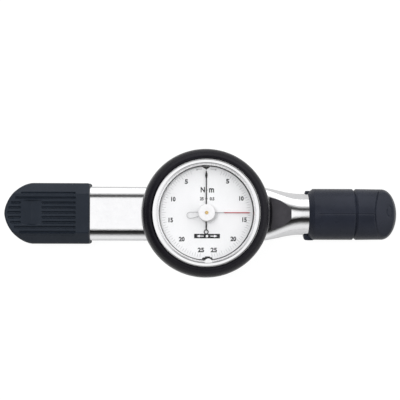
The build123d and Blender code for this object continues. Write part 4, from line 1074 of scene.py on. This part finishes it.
# ================================================================ FLOOR, LIGHT, WORLD
def make_floor():
    # the wrench rests on the tip of its square and on the grip
    low = [(0.0, -11.0), (186.0, TUBE_Z - GRIP_R)]
    slope = (low[1][1] - low[0][1]) / (low[1][0] - low[0][0])
    s = 2600.0
    pts = []
    for x, y in ((-s, -s), (s, -s), (s, s), (-s, s)):
        pts.append(((x + 90) * MM, y * MM, (low[0][1] - 0.02 + slope * (x + 90)) * MM))
    me = bpy.data.meshes.new("floor")
    me.from_pydata(pts, [], [(0, 1, 2, 3)])
    m = bpy.data.materials.new("floor_white")
    m.use_nodes = True
    nt = m.node_tree
    b = nt.nodes["Principled BSDF"]
    b.inputs["Base Color"].default_value = (0.35, 0.35, 0.35, 1)
    b.inputs["Roughness"].default_value = 0.9
    b.inputs["Specular IOR Level"].default_value = 0.1
    b.inputs["Emission Color"].default_value = (1, 1, 1, 1)
    b.inputs["Emission Strength"].default_value = 0.30
    # the ground is a plain backdrop to the eye and a pale surface to everything else
    seen = nt.nodes.new("ShaderNodeBsdfPrincipled")
    seen.inputs["Base Color"].default_value = (0.10, 0.10, 0.10, 1)
    seen.inputs["Roughness"].default_value = 1.0
    seen.inputs["Specular IOR Level"].default_value = 0.0
    seen.inputs["Emission Color"].default_value = (1, 1, 1, 1)
    seen.inputs["Emission Strength"].default_value = 0.95
    lp = nt.nodes.new("ShaderNodeLightPath")
    pick = nt.nodes.new("ShaderNodeMixShader")
    nt.links.new(lp.outputs["Is Camera Ray"], pick.inputs["Fac"])
    nt.links.new(b.outputs["BSDF"], pick.inputs[1])
    nt.links.new(seen.outputs["BSDF"], pick.inputs[2])
    tr = nt.nodes.new("ShaderNodeBsdfTransparent")
    ge = nt.nodes.new("ShaderNodeNewGeometry")
    mx = nt.nodes.new("ShaderNodeMixShader")
    nt.links.new(ge.outputs["Backfacing"], mx.inputs["Fac"])
    nt.links.new(pick.outputs["Shader"], mx.inputs[1])
    nt.links.new(tr.outputs["BSDF"], mx.inputs[2])
    nt.links.new(mx.outputs["Shader"], nt.nodes["Material Output"].inputs["Surface"])
    me.materials.append(m)
    o = bpy.data.objects.new("floor", me)
    bpy.context.scene.collection.objects.link(o)


make_floor()


def make_light():
    l = bpy.data.lights.new("key", "AREA")
    l.shape = "DISK"
    l.size = 0.30
    l.energy = 4.6
    o = bpy.data.objects.new("key", l)
    bpy.context.scene.collection.objects.link(o)
    target = Vector((0.0996, 0, 0.04))
    o.location = target + Vector((-0.22, 0.10, 0.92))
    o.visible_glossy = False
    o.rotation_mode = "QUATERNION"
    o.rotation_quaternion = (target - o.location).to_track_quat("-Z", "Y")


make_light()


def make_world():
    w = bpy.data.worlds.new("studio")
    bpy.context.scene.world = w
    w.use_nodes = True
    nt = w.node_tree
    bg = nt.nodes["Background"]
    tc = nt.nodes.new("ShaderNodeTexCoord")
    sx = nt.nodes.new("ShaderNodeSeparateXYZ")
    nt.links.new(tc.outputs["Generated"], sx.inputs[0])

    def mth(op, a, b=0.0):
        n = nt.nodes.new("ShaderNodeMath")
        n.operation = op
        for i, v in enumerate((a, b)):
            if isinstance(v, bpy.types.NodeSocket):
                nt.links.new(v, n.inputs[i])
            else:
                n.inputs[i].default_value = v
        return n.outputs[0]

    theta = mth("DIVIDE", mth("ARCCOSINE", sx.outputs["Z"]), math.pi)
    flat = mth("SQRT", mth("ADD", mth("MULTIPLY", sx.outputs["X"], sx.outputs["X"]), mth("MULTIPLY", sx.outputs["Y"], sx.outputs["Y"])))
    side = mth("ADD", mth("MULTIPLY", mth("DIVIDE", sx.outputs["Y"], mth("MAXIMUM", flat, 0.001)), 1.2), 0.5)

    def ramp(stops):
        r = nt.nodes.new("ShaderNodeValToRGB")
        r.color_ramp.interpolation = "LINEAR"
        els = r.color_ramp.elements
        els[0].position, els[1].position = stops[0][0] / 180, stops[-1][0] / 180
        els[0].color = (*[stops[0][1]] * 3, 1)
        els[1].color = (*[stops[-1][1]] * 3, 1)
        for deg, v in stops[1:-1]:
            e = els.new(deg / 180)
            e.color = (v, v, v, 1)
        nt.links.new(theta, r.inputs["Fac"])
        return r.outputs["Color"]

    north = ramp([(0, 1.08), (10, 1.05), (15, 0.72), (20, 0.25), (25, 0.05), (30, 0.09), (35, 0.24), (40, 0.58), (45, 0.95), (52, 1.35), (60, 1.5), (80, 1.5), (92, 1.25),
                  (100, 1.02), (105, 0.91), (110, 0.80), (115, 0.73), (120, 0.67), (150, 0.67), (180, 0.7)])
    south = ramp([(0, 1.08), (5, 1.1), (10, 0.94), (15, 0.51), (20, 0.12), (25, 0.0), (30, 0.02), (40, 0.04), (45, 0.13), (50, 0.34), (55, 0.58), (60, 0.73), (65, 0.84),
                  (70, 0.90), (80, 0.84), (90, 0.83), (100, 0.79), (105, 0.74), (112, 0.70), (120, 0.71), (130, 0.75), (140, 0.80), (150, 0.85), (180, 0.85)])
    west = ramp([(0, 1.08), (12, 1.1), (30, 1.1), (40, 0.85), (50, 0.40), (60, 0.15), (70, 0.06), (95, 0.06), (110, 0.5), (180, 0.7)])
    east = ramp([(0, 1.08), (8, 0.95), (14, 0.45), (18, 0.08), (24, 0.06), (28, 0.6), (34, 1.25), (60, 1.3), (100, 1.0), (120, 0.7), (180, 0.7)])
    mx = nt.nodes.new("ShaderNodeMix")
    mx.data_type = "RGBA"
    mx.clamp_factor = True
    nt.links.new(side, mx.inputs["Factor"])
    a = [i for i in mx.inputs if i.name == "A" and i.type == "RGBA"][0]
    b = [i for i in mx.inputs if i.name == "B" and i.type == "RGBA"][0]
    nt.links.new(south, a)
    nt.links.new(north, b)
    out = [o for o in mx.outputs if o.type == "RGBA"][0]
    xn = mth("DIVIDE", sx.outputs["X"], mth("MAXIMUM", flat, 0.001))
    along = nt.nodes.new("ShaderNodeMix")
    along.data_type = "RGBA"
    along.clamp_factor = True
    nt.links.new(mth("ADD", mth("MULTIPLY", xn, 2.0), 0.5), along.inputs["Factor"])
    nt.links.new(west, [i for i in along.inputs if i.name == "A" and i.type == "RGBA"][0])
    nt.links.new(east, [i for i in along.inputs if i.name == "B" and i.type == "RGBA"][0])
    both = nt.nodes.new("ShaderNodeMix")
    both.data_type = "RGBA"
    both.clamp_factor = True
    nt.links.new(mth("MULTIPLY", mth("SUBTRACT", mth("MULTIPLY", xn, xn), 0.25), 1.6), both.inputs["Factor"])
    nt.links.new(out, [i for i in both.inputs if i.name == "A" and i.type == "RGBA"][0])
    nt.links.new([o for o in along.outputs if o.type == "RGBA"][0], [i for i in both.inputs if i.name == "B" and i.type == "RGBA"][0])
    out = [o for o in both.outputs if o.type == "RGBA"][0]
    # soft light comes mostly from the north side
    soft = nt.nodes.new("ShaderNodeMix")
    soft.data_type = "RGBA"
    soft.clamp_factor = True
    nt.links.new(mth("ADD", side, mth("MULTIPLY", xn, 0.75)), soft.inputs["Factor"])
    [i for i in soft.inputs if i.name == "A" and i.type == "RGBA"][0].default_value = (0.14, 0.14, 0.14, 1)
    [i for i in soft.inputs if i.name == "B" and i.type == "RGBA"][0].default_value = (1.40, 1.40, 1.40, 1)
    lp = nt.nodes.new("ShaderNodeLightPath")
    m3 = nt.nodes.new("ShaderNodeMix")
    m3.data_type = "RGBA"
    nt.links.new(lp.outputs["Is Diffuse Ray"], m3.inputs["Factor"])
    nt.links.new(out, [i for i in m3.inputs if i.name == "A" and i.type == "RGBA"][0])
    nt.links.new([o for o in soft.outputs if o.type == "RGBA"][0], [i for i in m3.inputs if i.name == "B" and i.type == "RGBA"][0])
    out = [o for o in m3.outputs if o.type == "RGBA"][0]
    m2 = nt.nodes.new("ShaderNodeMix")
    m2.data_type = "RGBA"
    nt.links.new(lp.outputs["Is Camera Ray"], m2.inputs["Factor"])
    nt.links.new(out, [i for i in m2.inputs if i.name == "A" and i.type == "RGBA"][0])
    [i for i in m2.inputs if i.name == "B" and i.type == "RGBA"][0].default_value = (1, 1, 1, 1)
    nt.links.new([o for o in m2.outputs if o.type == "RGBA"][0], bg.inputs["Color"])
    bg.inputs["Strength"].default_value = 1.0


make_world()
bpy.context.scene.view_settings.view_transform = "Standard"
bpy.context.scene.view_settings.look = "None"
